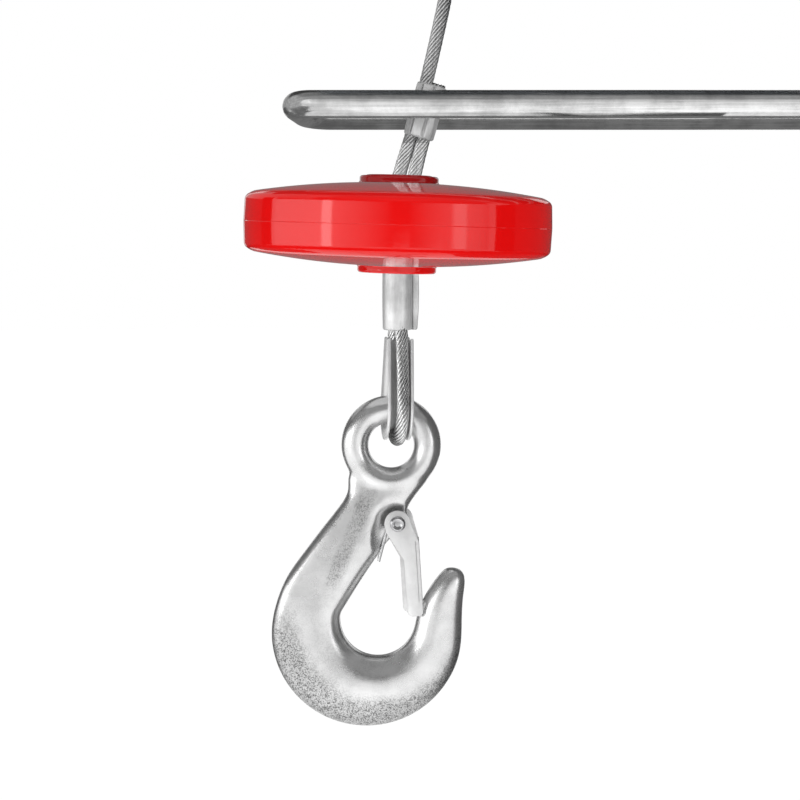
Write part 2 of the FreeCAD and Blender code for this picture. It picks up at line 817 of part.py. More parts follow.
def disc_lower_shell():
    """Lower half, with screw holes sunk from below."""
    shape = disc_shell().mirror(Vector(0, 0, 0), UP)
    bosses = [Part.makeCylinder(boss_r, cavity_roof, s - UP * cavity_roof) for s in screw_spots()]
    sink_r = disc_screw_head_d / 2 + disc_screw_head_play
    holes = []
    for s in screw_spots():
        holes.append(Part.makeCylinder(disc_screw_d / 2, collar_half, s - UP * collar_half))
        holes.append(Part.makeCylinder(sink_r, collar_half, s - UP * (disc_screw_seat + collar_half)))
    return placed_on_disc(shape.fuse(bosses).cut(holes).removeSplitter())


def disc_screws():
    """Screws that hold the two halves together."""
    solids = []
    reach = disc_screw_head_d
    for s in screw_spots():
        seat = s - UP * disc_screw_seat
        stem = Part.makeCylinder(disc_screw_d / 2, disc_screw_reach + disc_screw_seat, seat)
        head = Part.makeCylinder(disc_screw_head_d / 2, disc_screw_head_thick, seat, UP * -1)
        low = seat - UP * disc_screw_head_thick
        slot = box(low.x - disc_screw_slot_w / 2, low.x + disc_screw_slot_w / 2, low.y - reach, low.y + reach,
                   low.z, low.z + disc_screw_slot_depth)
        solids.append(stem.fuse(head).cut(slot).removeSplitter())
    return placed_on_disc(Part.makeCompound(solids))


def disc_ballast_ring():
    """Steel ring clamped between the two halves."""
    outer = Part.makeCylinder(cavity_r - ballast_play, 2 * ballast_half, Vector(0, 0, -ballast_half))
    inner = Part.makeCylinder(cavity_step_r + ballast_play, 2 * ballast_half, Vector(0, 0, -ballast_half))
    return placed_on_disc(outer.cut(inner))


def disc_core_tube():
    """Tube on the rope: rests on the lower ferrule, opens upwards, and carries the disc on its flange."""
    throat_top = core_shoulder + core_throat_length
    spots = [at(core_counterbore_r, -collar_half), at(core_r, -collar_half), at(core_r, -core_flange_half),
             at(core_flange_r, -core_flange_half), at(core_flange_r, core_flange_half),
             at(core_r, core_flange_half), at(core_r, collar_half), at(core_mouth_r, collar_half),
             at(core_throat_r, throat_top), at(core_throat_r, core_shoulder),
             at(core_counterbore_r, core_shoulder)]
    spots.append(spots[0])
    return placed_on_disc(revolved([line(a, b) for a, b in zip(spots, spots[1:])]))


# Limit lever

def rod_offset():
    """Half the spacing of the hairpin's two rods, rolled about the lever's length."""
    roll = math.radians(rod_roll)
    return Vector(0, math.cos(roll), -math.sin(roll)) * rod_spacing / 2


def lever_rod():
    """Round rod bent into a hairpin; the rope runs in the slot between its legs."""
    bend_x = lever_end_x + rod_d / 2 + rod_spacing / 2
    middle = Vector(bend_x, 0, lever_z)
    off = rod_offset()
    near = middle - off
    far = middle + off
    end = Vector(hub_left + rod_socket - bend_x, 0, 0)
    apex = middle - ALONG_X * rod_spacing / 2
    path = Part.Wire([line(near + end, near), arc(near, apex, far), line(far, far + end)])
    section = Part.Wire(Part.Circle(near + end, ALONG_X, rod_d / 2).toShape())
    return path.makePipeShell([section], True, False).cut(roll_pin_holes())


def roll_pin_holes():
    """Upright pin holes through the hub and both rod ends."""
    x = hub_left + roll_pin_inset
    low = lever_z - 2 * hub_half_height
    spots = [Vector(x, side * rod_offset().y, low) for side in (-1, 1)]
    return [Part.makeCylinder(roll_pin_d / 2, 4 * hub_half_height, s) for s in spots]


def across_pivot(r):
    """Cylinder of radius r along the lever's pivot, longer than the frame is wide."""
    return Part.makeCylinder(r, 2 * channel_width, Vector(pivot_x, -channel_width, lever_z), ALONG_Y)


def lever_hub():
    """Block that holds the hairpin's ends and turns on the pivot pin."""
    body = box(hub_left, hub_right, -hub_half_width, hub_half_width,
               lever_z - hub_half_height, lever_z + hub_half_height)
    ends = [e for e in body.Edges if e.BoundBox.YLength > hub_half_width and e.BoundBox.XMin > hub_left + 1]
    body = body.makeFillet(hub_tail_r, ends)
    start = Vector(hub_left - 1, 0, lever_z)
    for side in (-1, 1):
        socket = start + rod_offset() * side
        body = body.cut(Part.makeCylinder(rod_d / 2, rod_socket + 1, socket, ALONG_X))
    return body.cut([across_pivot(bush_r)] + roll_pin_holes())


def lever_roll_pins():
    """Two pins that lock the rod ends in the hub."""
    solids = []
    for hole in roll_pin_holes():
        x = hub_left + roll_pin_inset
        y = hole.BoundBox.Center.y
        foot = Vector(x, y, lever_z - hub_half_height)
        solids.append(Part.makeCylinder(roll_pin_d / 2, 2 * hub_half_height, foot))
    return Part.makeCompound(solids)


def pivot_bushes():
    """Flanged bushes pressed into the hub from both sides."""
    solids = []
    for side in (-1, 1):
        out = ALONG_Y * side
        spot = Vector(pivot_x, side * bush_gap_half, lever_z)
        face = Vector(pivot_x, side * hub_half_width, lever_z)
        body = Part.makeCylinder(bush_r, hub_half_width - bush_gap_half, spot, out)
        body = body.fuse(Part.makeCylinder(bush_flange_r, bush_flange_t, face, out))
        solids.append(body.cut(across_pivot(pin_d / 2 + pin_play)).removeSplitter())
    return Part.makeCompound(solids)


def pivot_pin():
    """Headed pin across both ears, grooved for a clip."""
    start = Vector(pivot_x, -half_width, lever_z)
    length = channel_width + clip_t + pin_end_past_clip
    body = Part.makeCylinder(pin_d / 2, length, start, ALONG_Y)
    head = Part.makeCylinder(pin_head_d / 2, pin_head_t, start, ALONG_Y * -1)
    rim = [e for e in head.Edges if e.Closed and e.BoundBox.YMax < start.y - pin_head_t / 2]
    body = body.fuse(head.makeFillet(pin_head_round, rim))
    ear = start + ALONG_Y * channel_width
    groove = Part.makeCylinder(pin_d, clip_t, ear, ALONG_Y)
    groove = groove.cut(Part.makeCylinder(clip_groove_d / 2, clip_t, ear, ALONG_Y))
    return body.cut(groove).removeSplitter()


def pivot_clip():
    """Open spring clip in the pin's groove."""
    start = Vector(pivot_x, half_width, lever_z)
    ring = Part.makeCylinder(clip_d / 2, clip_t, start, ALONG_Y)
    ring = ring.cut(Part.makeCylinder(clip_groove_d / 2, clip_t, start, ALONG_Y))
    mouth = box(pivot_x - clip_mouth_w / 2, pivot_x + clip_mouth_w / 2, half_width, half_width + clip_t,
                lever_z - clip_d, lever_z)
    return ring.cut(mouth)


def lever_stop_pin():
    """Cross pin over the hub's tail that keeps the lever from drooping."""
    start = Vector(stop_pin_x, -half_width - stop_pin_past_ear, stop_pin_z)
    body = Part.makeCylinder(stop_pin_d / 2, channel_width + 2 * stop_pin_past_ear, start, ALONG_Y)
    return body.makeChamfer(stop_pin_chamfer, [e for e in body.Edges if e.Closed])


# Limit switch

def bracket_screw_x():
    """Places of the bracket's screws along the frame."""
    return (switch_left + bracket_screw_inset, switch_right - bracket_screw_inset)


def bracket_screw_y():
    """Place of the bracket's screws across the frame."""
    return switch_half_width + bracket_sheet + (bracket_foot - bracket_sheet) / 2


def switch_screw_spots():
    """Places of the two screws through the switch, one low and one high."""
    left = switch_left + switch_screw_inset
    right = switch_right - switch_screw_inset
    low = switch_bottom + switch_screw_inset
    high = switch_bottom + switch_height - switch_screw_inset
    return [Vector(left, 0, high), Vector(right, 0, low)]


def across_holes(d):
    """Holes of the switch's screws, across the frame."""
    reach = ALONG_Y * channel_width / 2
    return [Part.makeCylinder(d / 2, channel_width, s - reach, ALONG_Y) for s in switch_screw_spots()]


def switch_bracket():
    """Bent angle that hangs the switch from the frame's top."""
    plate = box(switch_left, switch_right, switch_half_width, switch_half_width + bracket_sheet,
                switch_bottom + bracket_short, -wall)
    foot = box(switch_left, switch_right, switch_half_width, switch_half_width + bracket_foot,
               -wall - bracket_sheet, -wall)
    holes = across_holes(switch_screw_d)
    for x in bracket_screw_x():
        low = Vector(x, bracket_screw_y(), -channel_depth)
        holes.append(Part.makeCylinder(bracket_screw_d / 2, channel_depth, low))
    return plate.fuse(foot).cut(holes).removeSplitter()


def bracket_screws():
    """Screws with nuts that hold the bracket under the frame's top."""
    solids = []
    for x in bracket_screw_x():
        y = bracket_screw_y()
        low = -wall - bracket_sheet - bracket_nut_t
        end = low - screw_past_nut
        stem = Part.makeCylinder(bracket_screw_d / 2, -end, Vector(x, y, end))
        head = Part.makeCylinder(bracket_head_d / 2, bracket_head_t, Vector(x, y, 0))
        nut = hexagon(Vector(x, y, low), UP, bracket_nut_af, bracket_nut_t)
        solids.append(stem.fuse([head, nut]).removeSplitter())
    return Part.makeCompound(solids)


def hexagon(start, axis, across_flats, thick):
    """Plain hexagon nut or head standing on start along axis."""
    r = across_flats / math.sqrt(3)
    turns = [math.pi * k / 3 for k in range(6)]
    flat = polygon([Vector(r * math.cos(t), r * math.sin(t), 0) for t in turns])
    body = flat.extrude(UP * thick)
    body.Placement = FreeCAD.Placement(start, FreeCAD.Rotation(UP, axis))
    return body


def switch_screws():
    """Screws with nuts that hold the switch to its bracket."""
    solids = []
    back = switch_half_width + bracket_sheet
    for s in switch_screw_spots():
        front = s - ALONG_Y * switch_half_width
        end = s + ALONG_Y * (back + switch_nut_t + screw_past_nut)
        stem = rod_between(front, end, switch_screw_d)
        head = Part.makeCylinder(switch_head_d / 2, switch_head_t, front, ALONG_Y * -1)
        nut = hexagon(s + ALONG_Y * back, ALONG_Y, switch_nut_af, switch_nut_t)
        solids.append(stem.fuse([head, nut]).removeSplitter())
    return Part.makeCompound(solids)


def switch_body():
    """Case of the limit switch, bored for its plunger."""
    body = box(switch_left, switch_right, -switch_half_width, switch_half_width,
               switch_bottom, switch_bottom + switch_height)
    corners = [e for e in body.Edges if e.BoundBox.YLength > switch_half_width]
    body = body.makeFillet(switch_round, corners)
    deep = plunger_inside + plunger_over
    bore = Part.makeCylinder(plunger_d / 2 + plunger_play, deep, Vector(plunger_x, 0, switch_bottom))
    return body.cut([bore] + across_holes(switch_screw_d))


def switch_terminals():
    """Blade terminals on top of the switch."""
    solids = []
    top = switch_bottom + switch_height
    for k in range(terminal_count):
        x = switch_left + terminal_inset + terminal_pitch * k
        blade = box(x - terminal_w / 2, x + terminal_w / 2, -terminal_t / 2, terminal_t / 2,
                    top, top + terminal_h)
        low = Vector(x, -terminal_t, top + terminal_h - terminal_eye_below)
        solids.append(blade.cut(Part.makeCylinder(terminal_eye_d / 2, 2 * terminal_t, low, ALONG_Y)))
    return Part.makeCompound(solids)


def switch_plunger():
    """Round plunger that the lever's hub pushes up."""
    body = Part.makeCylinder(plunger_d / 2, plunger_out + plunger_inside, Vector(plunger_x, 0, plunger_tip))
    rim = [e for e in body.Edges if e.Closed and e.BoundBox.ZMax < switch_bottom]
    return body.makeFillet(plunger_round, rim)


nodes = {
    "frame_channel": frame_channel(),
    "rope_anchor_bush": rope_anchor_bush(),
    "rope_stop_sleeve": rope_stop_sleeve(),
    "wire_rope": tube(rope_route(), rope_d, "wire rope"),
    "ferrule_upper": ferrule_upper(),
    "ferrule_lower": ferrule_lower(),
    "thimble": thimble(),
    "hook_body": hook_body(),
    "latch": latch(),
    "latch_rivet": latch_rivet(),
    "latch_spring": latch_spring(),
    "disc_upper_shell": disc_upper_shell(),
    "disc_lower_shell": disc_lower_shell(),
    "disc_screws": disc_screws(),
    "disc_ballast_ring": disc_ballast_ring(),
    "disc_core_tube": disc_core_tube(),
    "lever_rod": lever_rod(),
    "lever_hub": lever_hub(),
    "lever_roll_pins": lever_roll_pins(),
    "pivot_bushes": pivot_bushes(),
    "pivot_pin": pivot_pin(),
    "pivot_clip": pivot_clip(),
    "lever_stop_pin": lever_stop_pin(),
    "switch_bracket": switch_bracket(),
    "bracket_screws": bracket_screws(),
    "switch_body": switch_body(),
    "switch_screws": switch_screws(),
    "switch_terminals": switch_terminals(),
    "switch_plunger": switch_plunger(),
}

for name, shape in nodes.items():
    print(name, "valid" if shape.isValid() else "NOT VALID", "solids", len(shape.Solids), "%.1f" % shape.Volume)
    shape.exportStep("parts/" + name + ".step")
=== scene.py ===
"""Looks of the hook end of an electric wire-rope hoist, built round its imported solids."""

import logging
import math
from dataclasses import dataclass, field
from enum import Enum
from typing import Any, Iterable, Sequence

import bmesh
import bpy
from mathutils import Matrix, Vector


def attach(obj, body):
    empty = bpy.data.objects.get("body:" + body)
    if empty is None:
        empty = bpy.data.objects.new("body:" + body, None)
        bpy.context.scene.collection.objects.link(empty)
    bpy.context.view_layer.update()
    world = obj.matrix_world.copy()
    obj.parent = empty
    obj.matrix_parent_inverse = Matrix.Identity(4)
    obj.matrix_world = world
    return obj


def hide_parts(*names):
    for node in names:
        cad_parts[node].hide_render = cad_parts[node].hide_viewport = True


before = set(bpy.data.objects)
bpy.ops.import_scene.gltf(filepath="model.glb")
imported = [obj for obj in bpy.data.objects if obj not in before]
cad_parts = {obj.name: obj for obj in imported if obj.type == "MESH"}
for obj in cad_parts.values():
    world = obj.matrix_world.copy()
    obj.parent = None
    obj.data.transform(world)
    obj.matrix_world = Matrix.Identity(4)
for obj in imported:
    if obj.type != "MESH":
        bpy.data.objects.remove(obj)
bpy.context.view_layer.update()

log = logging.getLogger("hook_end")

MM = 0.001
HEIGHT = "height"
SOLID_GAP = 1e-3
SOLID_FLAT = 0.4
Rgb = tuple[float, float, float]
Spot = tuple[float, float, float]
Stops = tuple[tuple[float, float], ...]
Edges = list[bmesh.types.BMEdge]


class Body(Enum):
    """Moving bodies of the part."""

    FRAME = "frame"
    LEVER = "lever"
    PLUNGER = "plunger"
    DISC_CORE = "disc_core"
    DISC = "disc"
    HOOK = "hook"
    LATCH = "latch"


class Slot(Enum):
    """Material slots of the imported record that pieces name."""

    FRAME_PAINT = "frame_paint"
    ZINC_HOOK = "zinc_hook"
    ZINC_SHEET = "zinc_sheet"
    BARE_STEEL = "bare_steel"
    SPRING_STEEL = "spring_steel"
    LEVER_STEEL = "lever_steel"
    ROPE_STEEL = "rope_steel"
    FERRULE_ALUMINIUM = "ferrule_aluminium"
    DISC_RED = "disc_red"
    SWITCH_BLACK = "switch_black"
    PLUNGER_WHITE = "plunger_white"
    TERMINAL_BRASS = "terminal_brass"


class Carve(Enum):
    """Ways to combine an object with a tool."""

    JOIN = "UNION"
    CUT = "DIFFERENCE"


def grey(level: float) -> Rgb:
    """Colour with the same level in all three channels."""
    return (level, level, level)


def hump(share: float) -> float:
    """Parabola over a length: 0 at both ends and 1 at the middle."""
    return 1.0 - (2.0 * share - 1.0) ** 2


# Shader values and finishes


class Value:
    """A number that varies over a surface and takes part in Python arithmetic."""

    def __init__(self, nodes: "Nodes", socket: bpy.types.NodeSocket) -> None:
        """Wraps one output socket of a node tree."""
        self.nodes = nodes
        self.socket = socket

    def _maths(self, operation: str, first: Any, second: Any) -> "Value":
        """One Math node on two values or numbers."""
        made = self.nodes.node("ShaderNodeMath", {"operation": operation}, {0: first, 1: second})
        return Value(self.nodes, made.outputs[0])

    def __add__(self, other: Any) -> "Value":
        """Sum."""
        return self._maths("ADD", self, other)

    def __radd__(self, other: Any) -> "Value":
        """Sum with a number on the left."""
        return self._maths("ADD", other, self)

    def __sub__(self, other: Any) -> "Value":
        """Difference."""
        return self._maths("SUBTRACT", self, other)

    def __rsub__(self, other: Any) -> "Value":
        """Difference from a number on the left."""
        return self._maths("SUBTRACT", other, self)

    def __mul__(self, other: Any) -> "Value":
        """Product."""
        return self._maths("MULTIPLY", self, other)

    def __rmul__(self, other: Any) -> "Value":
        """Product with a number on the left."""
        return self._maths("MULTIPLY", other, self)

    def zigzag(self, span: float) -> "Value":
        """Runs up to span and back down again, over and over."""
        return self._maths("PINGPONG", self, span)

    def most(self, other: "Value") -> "Value":
        """The larger of two values."""
        return self._maths("MAXIMUM", self, other)

    def between(self, low: float, high: float) -> "Value":
        """Smooth step from 0 at low to 1 at high; a high under low falls instead of rising.

        Args:
            low: the value that becomes 0.
            high: the value that becomes 1.

        Returns:
            A value from 0 to 1.
        """
        rising = low < high
        inputs = {"Value": self, "From Min": min(low, high), "From Max": max(low, high),
                  "To Min": 0.0 if rising else 1.0, "To Max": 1.0 if rising else 0.0}
        made = self.nodes.node("ShaderNodeMapRange", {"interpolation_type": "SMOOTHSTEP"}, inputs)
        return Value(self.nodes, made.outputs[0])


class Nodes:
    """A node tree in the making."""

    def __init__(self, tree: bpy.types.NodeTree) -> None:
        """Empties the tree of a material or a world."""
        self.tree = tree
        self.tree.nodes.clear()

    def node(self, kind: str, settings: dict[str, Any], inputs: dict[Any, Any]) -> bpy.types.Node:
        """Adds a node.

        Args:
            kind: the node's type.
            settings: its properties; "stops" holds a ramp's positions and colours.
            inputs: numbers, colours, sockets or values, by socket name or number.

        Returns:
            The new node.
        """
        made = self.tree.nodes.new(kind)
        for name, setting in settings.items():
            if name == "stops":
                while len(made.color_ramp.elements) < len(setting):
                    made.color_ramp.elements.new(1.0)
                for element, (position, colour) in zip(made.color_ramp.elements, setting):
                    element.position = position
                    element.color = (*colour, 1.0)
            else:
                setattr(made, name, setting)
        for name, given in inputs.items():
            self.feed(made.inputs[name], given)
        return made

    def feed(self, socket: bpy.types.NodeSocket, given: Any) -> None:
        """Links a value or a socket to an input, or sets a number or colour on it.

        Args:
            socket: the input.
            given: a value, socket, number, colour or vector.
        """
        if isinstance(given, Value):
            given = given.socket
        if isinstance(given, bpy.types.NodeSocket):
            self.tree.links.new(given, socket)
        elif isinstance(given, tuple) and len(given) == 3 and socket.type == "RGBA":
            socket.default_value = (*given, 1.0)
        else:
            socket.default_value = given

    def blend(self, share: Any, first: bpy.types.NodeSocket,
              second: bpy.types.NodeSocket) -> bpy.types.NodeSocket:
        """Shader between first and second."""
        return self.node("ShaderNodeMixShader", {}, {0: share, 1: first, 2: second}).outputs[0]

    def shown(self) -> Value:
        """1 for rays that show the background: straight from the camera, by gloss or through glass.

        Returns:
            A value of 0 or 1.
        """
        path = self.node("ShaderNodeLightPath", {}, {})
        rays = ("Is Camera Ray", "Is Glossy Ray", "Is Transmission Ray")
        seen, gloss, through = (Value(self, path.outputs[ray]) for ray in rays)
        return seen.most(gloss).most(through)


class Paint(Nodes):
    """A material in the making: one Principled shader and the nodes that feed it."""

    def __init__(self, name: str) -> None:
        """Starts an empty material.

        Args:
            name: the material's name.
        """
        self.material = bpy.data.materials.new(name)
        self.material.use_nodes = True
        super().__init__(self.material.node_tree)
        self.shader = self.node("ShaderNodeBsdfPrincipled", {}, {})
        self.output = self.node("ShaderNodeOutputMaterial", {}, {"Surface": self.shader.outputs[0]})

    def place(self, scale: Spot = (1.0, 1.0, 1.0), shift: Spot = (0.0, 0.0, 0.0),
              source: str = "Object") -> bpy.types.NodeSocket:
        """Coordinates on the piece, in metres, scaled and then shifted.

        Args:
            scale: stretch along each axis.
            shift: move after the scale.
            source: which output of the Texture Coordinate node is read.

        Returns:
            The vector socket.
        """
        coords = self.node("ShaderNodeTexCoord", {}, {})
        inputs = {"Vector": coords.outputs[source], "Location": shift, "Scale": scale}
        return self.node("ShaderNodeMapping", {"vector_type": "POINT"}, inputs).outputs[0]

    def axis(self, vector: bpy.types.NodeSocket, index: int) -> Value:
        """One component of a vector."""
        return Value(self, self.node("ShaderNodeSeparateXYZ", {}, {0: vector}).outputs[index])

    def reach(self, axes: Spot, centre: Spot) -> Value:
        """Distance from a centre, along some of the axes alone.

        Args:
            axes: 1 for an axis that counts and 0 for one that doesn't.
            centre: the place to measure from, in metres.

        Returns:
            The distance in metres.
        """
        shift = tuple(-middle * share for middle, share in zip(centre, axes))
        made = self.node("ShaderNodeVectorMath", {"operation": "LENGTH"}, {0: self.place(axes, shift)})
        return Value(self, made.outputs["Value"])

    def attribute(self, name: str) -> Value:
        """Number that the mesh keeps at its vertices."""
        return Value(self, self.node("ShaderNodeAttribute", {"attribute_name": name}, {}).outputs["Fac"])

    def noise(self, vector: bpy.types.NodeSocket, scale: float, detail: float = 2.0,
              roughness: float = 0.5) -> Value:
        """Cloudy noise from 0 to 1.

        Args:
            vector: coordinates.
            scale: bumps per unit of the coordinates.
            detail: octaves.
            roughness: share of the finer octaves.

        Returns:
            The noise value.
        """
        inputs = {"Vector": vector, "Scale": scale, "Detail": detail, "Roughness": roughness}
        return Value(self, self.node("ShaderNodeTexNoise", {}, inputs).outputs[0])

    def mix(self, share: Any, first: Any, second: Any) -> bpy.types.NodeSocket:
        """Colour between first and second."""
        inputs = {0: share, 6: first, 7: second}
        return self.node("ShaderNodeMix", {"data_type": "RGBA"}, inputs).outputs[2]

    def bump(self, height: Value, depth: float = 1.0) -> bpy.types.NodeSocket:
        """Normal of a surface whose relief is height times depth, in metres."""
        return self.node("ShaderNodeBump", {}, {"Distance": depth, "Height": height}).outputs[0]

    def dress(self, **inputs: Any) -> bpy.types.Material:
        """Feeds the shader.

        Args:
            **inputs: what goes to each socket, with _ for the spaces in its name.

        Returns:
            The material.
        """
        for name, given in inputs.items():
            self.feed(self.shader.inputs[name.replace("_", " ")], given)
        return self.material


@dataclass(frozen=True)
class Metal:
    """Bare or plated metal with clouds, streaks along one direction and a fine grain."""

    name: str
    light: Rgb
    dark: Rgb
    smooth: float
    rough: float
    cloud_scale: float = 90.0
    streak: Spot = (1.0, 1.0, 1.0)
    streak_scale: float = 400.0
    streak_depth: float = 0.00001
    grain_scale: float = 2500.0
    grain_depth: float = 0.000006
    metallic: float = 1.0
    worn_from: float = 0.34
    worn_to: float = 0.66

    def material(self) -> bpy.types.Material:
        """Makes the material.

        Returns:
            The material.
        """
        paint = Paint(self.name)
        spot = paint.place()
        cloud = paint.noise(spot, self.cloud_scale, detail=4.0, roughness=0.6)
        streak = paint.noise(paint.place(self.streak), self.streak_scale, detail=3.0, roughness=0.6)
        grain = paint.noise(spot, self.grain_scale)
        worn = (cloud * 0.6 + streak * 0.4).between(self.worn_from, self.worn_to)
        shine = worn * 0.7 + grain * 0.3
        relief = streak * self.streak_depth + grain * self.grain_depth
        return paint.dress(
            Base_Color=paint.mix(worn, self.dark, self.light), Metallic=self.metallic,
            Roughness=self.rough - (self.rough - self.smooth) * shine, Normal=paint.bump(relief))


@dataclass(frozen=True)
class ForgedZinc:
    """Bright zinc on a forging: smooth where it was handled, frosted with grain round the bowl's back, and
    dulled there and in a band down the shank by painted shade.
    """

    name: str = "forged_zinc"
    light: Rgb = grey(0.87)
    mid: Rgb = grey(0.72)
    # The grey that the painted shade mixes into the zinc.
    dull: Rgb = grey(0.46)
    dark: Rgb = grey(0.14)
    smooth: float = 0.24
    rough: float = 0.40
    metallic: float = 0.94
    cloud_scale: float = 130.0
    cloud_depth: float = 0.00004
    pit_scale: float = 900.0
    grain_scale: float = 2700.0
    grain_depth: float = 0.00014
    speck_from: float = 0.40
    speck_to: float = 0.56
    # Where the mask below darkens: the bowl's low outer edge and a band down the shank are painted shade,
    # with the grain of frosted zinc in them.
    bowl: Spot = (-0.0231, 0.0, -0.2051)
    grain_shade_in: float = 0.0205
    grain_shade_out: float = 0.0275
    grain_shade_top: float = -0.192
    grain_shade_low: float = -0.222
    grain_shade_round: float = 0.85
    grain_shade_even: float = 0.10
    patch_scale: float = 62.0
    patch_from: float = 0.42
    patch_to: float = 0.66
    patch_frost: float = 0.22
    band_across: tuple[float, float] = (0.933, -0.363)
    band_at: float = 0.0365
    band_half: float = 0.0032
    band_top: float = -0.162
    band_top_fade: float = 0.010
    band_low: float = -0.200
    band_low_fade: float = 0.012
    band_grain_shade: float = 0.45

    def grain_and_shade(self, paint: Paint, spot: bpy.types.NodeSocket) -> Value:
        """How grainy and shaded the forging is: low round the bowl, in patches, and in a band down the
        shank; the bowl's low outer edge and the shank's band are painted shade as well as grain.

        Args:
            paint: the material.
            spot: coordinates on the piece.

        Returns:
            A value from 0 to 1.
        """
        along = paint.axis(spot, 2)
        low = along.between(self.grain_shade_top, self.grain_shade_low)
        outer = paint.reach((1.0, 0.0, 1.0), self.bowl).between(self.grain_shade_in, self.grain_shade_out)
        patches = paint.noise(spot, self.patch_scale, detail=4.0).between(self.patch_from, self.patch_to)
        aside = paint.axis(spot, 0) * self.band_across[0] + along * self.band_across[1] - self.band_at
        band = (aside * aside).between(self.band_half ** 2, 0.0)
        band = band * along.between(self.band_top, self.band_top - self.band_top_fade)
        band = band * along.between(self.band_low, self.band_low + self.band_low_fade)
        bowl = low * (outer * self.grain_shade_round + self.grain_shade_even)
        return (bowl + patches * self.patch_frost + band * self.band_grain_shade).between(0.0, 1.0)

    def material(self) -> bpy.types.Material:
        """Makes the material.

        Returns:
            The material.
        """
        paint = Paint(self.name)
        spot = paint.place()
        cloud = paint.noise(spot, self.cloud_scale, detail=4.0, roughness=0.6)
        grain = paint.noise(spot, self.grain_scale, roughness=0.6)
        pits = paint.noise(spot, self.pit_scale, detail=3.0, roughness=0.6)
        grain_and_shade = self.grain_and_shade(paint, spot)
        speck = (grain * 0.7 + pits * 0.3).between(self.speck_from, self.speck_to)
        tone = paint.mix(cloud.between(0.3, 0.7), self.mid, self.light)
        # Painted shade: the mask dulls the zinc towards grey at the bowl's low outer edge and down the
        # shank.
        tone = paint.mix(grain_and_shade * 0.6, tone, self.dull)
        relief = (grain * 0.7 + pits * 0.5) * (grain_and_shade * 0.9 + 0.1) * self.grain_depth
        return paint.dress(
            Base_Color=paint.mix((1.0 - speck) * grain_and_shade * 0.95, tone, self.dark), Metallic=self.metallic,
            Roughness=self.smooth + (self.rough - self.smooth) * (grain_and_shade * 0.6 + cloud * 0.4),
            Normal=paint.bump(relief + cloud * self.cloud_depth))


@dataclass(frozen=True)
class RopeWire:
    """Galvanised wire: every strand is a bundle of fine wires, drawn along the strand's own UV map, and
    painted dark below its crown as shade in the gaps between strands.
    """

    name: str = "rope_wire"
    light: Rgb = grey(0.75)
    dark: Rgb = grey(0.02)
    tint: Rgb = grey(0.2)
    wires: float = 6.0
    turns: float = 110.0
    ridge_to: float = 0.36
    ridge_depth: float = 0.00002
    # Painted shade: below this share of the height a strand turns dark, as the gaps between strands would
    # be in shade.
    crown_from: float = 0.964
    crown_to: float = 0.994
    cloud_scale: float = 240.0
    rough: float = 0.42
    crown_shine: float = 0.16

    def material(self) -> bpy.types.Material:
        """Makes the material.

        Returns:
            The material.
        """
        paint = Paint(self.name)
        flat = paint.place(source="UV")
        phase = paint.axis(flat, 1) * self.wires + paint.axis(flat, 0) * self.turns
        ridge = phase.zigzag(0.5).between(0.0, self.ridge_to)
        # Painted shade: strands darken away from their crown, into the gaps between them.
        crown = paint.attribute(HEIGHT).between(self.crown_from, self.crown_to)
        cloud = paint.noise(paint.place(), self.cloud_scale, detail=3.0)
        tone = crown * (ridge * 0.12 + cloud * 0.3 + 0.7)
        return paint.dress(
            Base_Color=paint.mix(tone.between(0.0, 1.0), self.dark, self.light), Metallic=1.0,
            Specular_Tint=self.tint, Roughness=self.rough - crown * self.crown_shine,
            Normal=paint.bump(ridge, self.ridge_depth))


@dataclass(frozen=True)
class GlossPlastic:
    """Moulded plastic: even colour, faint clouds, hairline marks, and painted shade that darkens its upper
    collar.
    """

    name: str
    colour: Rgb
    deep: Rgb
    gloss: float = 0.07
    dull: float = 0.16
    cloud_scale: float = 35.0
    skin_scale: float = 420.0
    skin: float = 0.000004
    mark_stretch: Spot = (40.0, 260.0, 900.0)
    mark_from: float = 0.56
    mark_to: float = 0.74
    # Painted shade: a darker red ring on the upper collar round the rope, standing in for the shade there.
    collar_shade: Rgb = (0.30, 0.002, 0.003)
    collar_shade_axis: Spot = (-0.0167, 0.0, -0.0770)
    collar_shade_r: float = 0.0122
    collar_shade_fade: float = 0.0012
    collar_shade_deep: float = 0.004
    collar_shade_share: float = 0.85

    def material(self) -> bpy.types.Material:
        """Makes the material.

        Returns:
            The material.
        """
        paint = Paint(self.name)
        spot = paint.place()
        cloud = paint.noise(spot, self.cloud_scale, detail=3.0)
        peel = paint.noise(spot, self.skin_scale, detail=1.0)
        marks = paint.noise(paint.place(self.mark_stretch), 1.0, detail=4.0, roughness=0.7)
        marks = marks.between(self.mark_from, self.mark_to)
        # Painted shade: darkens the red inside a ring round the axis, near the top of the upper collar.
        away = paint.reach((1.0, 1.0, 0.0), self.collar_shade_axis)
        high = self.collar_shade_axis[2]
        collar_shaded = away.between(self.collar_shade_r + self.collar_shade_fade, self.collar_shade_r)
        collar_shaded = collar_shaded * paint.axis(spot, 2).between(high - self.collar_shade_deep, high)
        tone = paint.mix(cloud.between(0.25, 0.75), self.deep, self.colour)
        return paint.dress(
            Base_Color=paint.mix(collar_shaded * self.collar_shade_share, tone, self.collar_shade),
            Roughness=self.gloss + (self.dull - self.gloss) * marks,
            Normal=paint.bump(peel, self.skin))


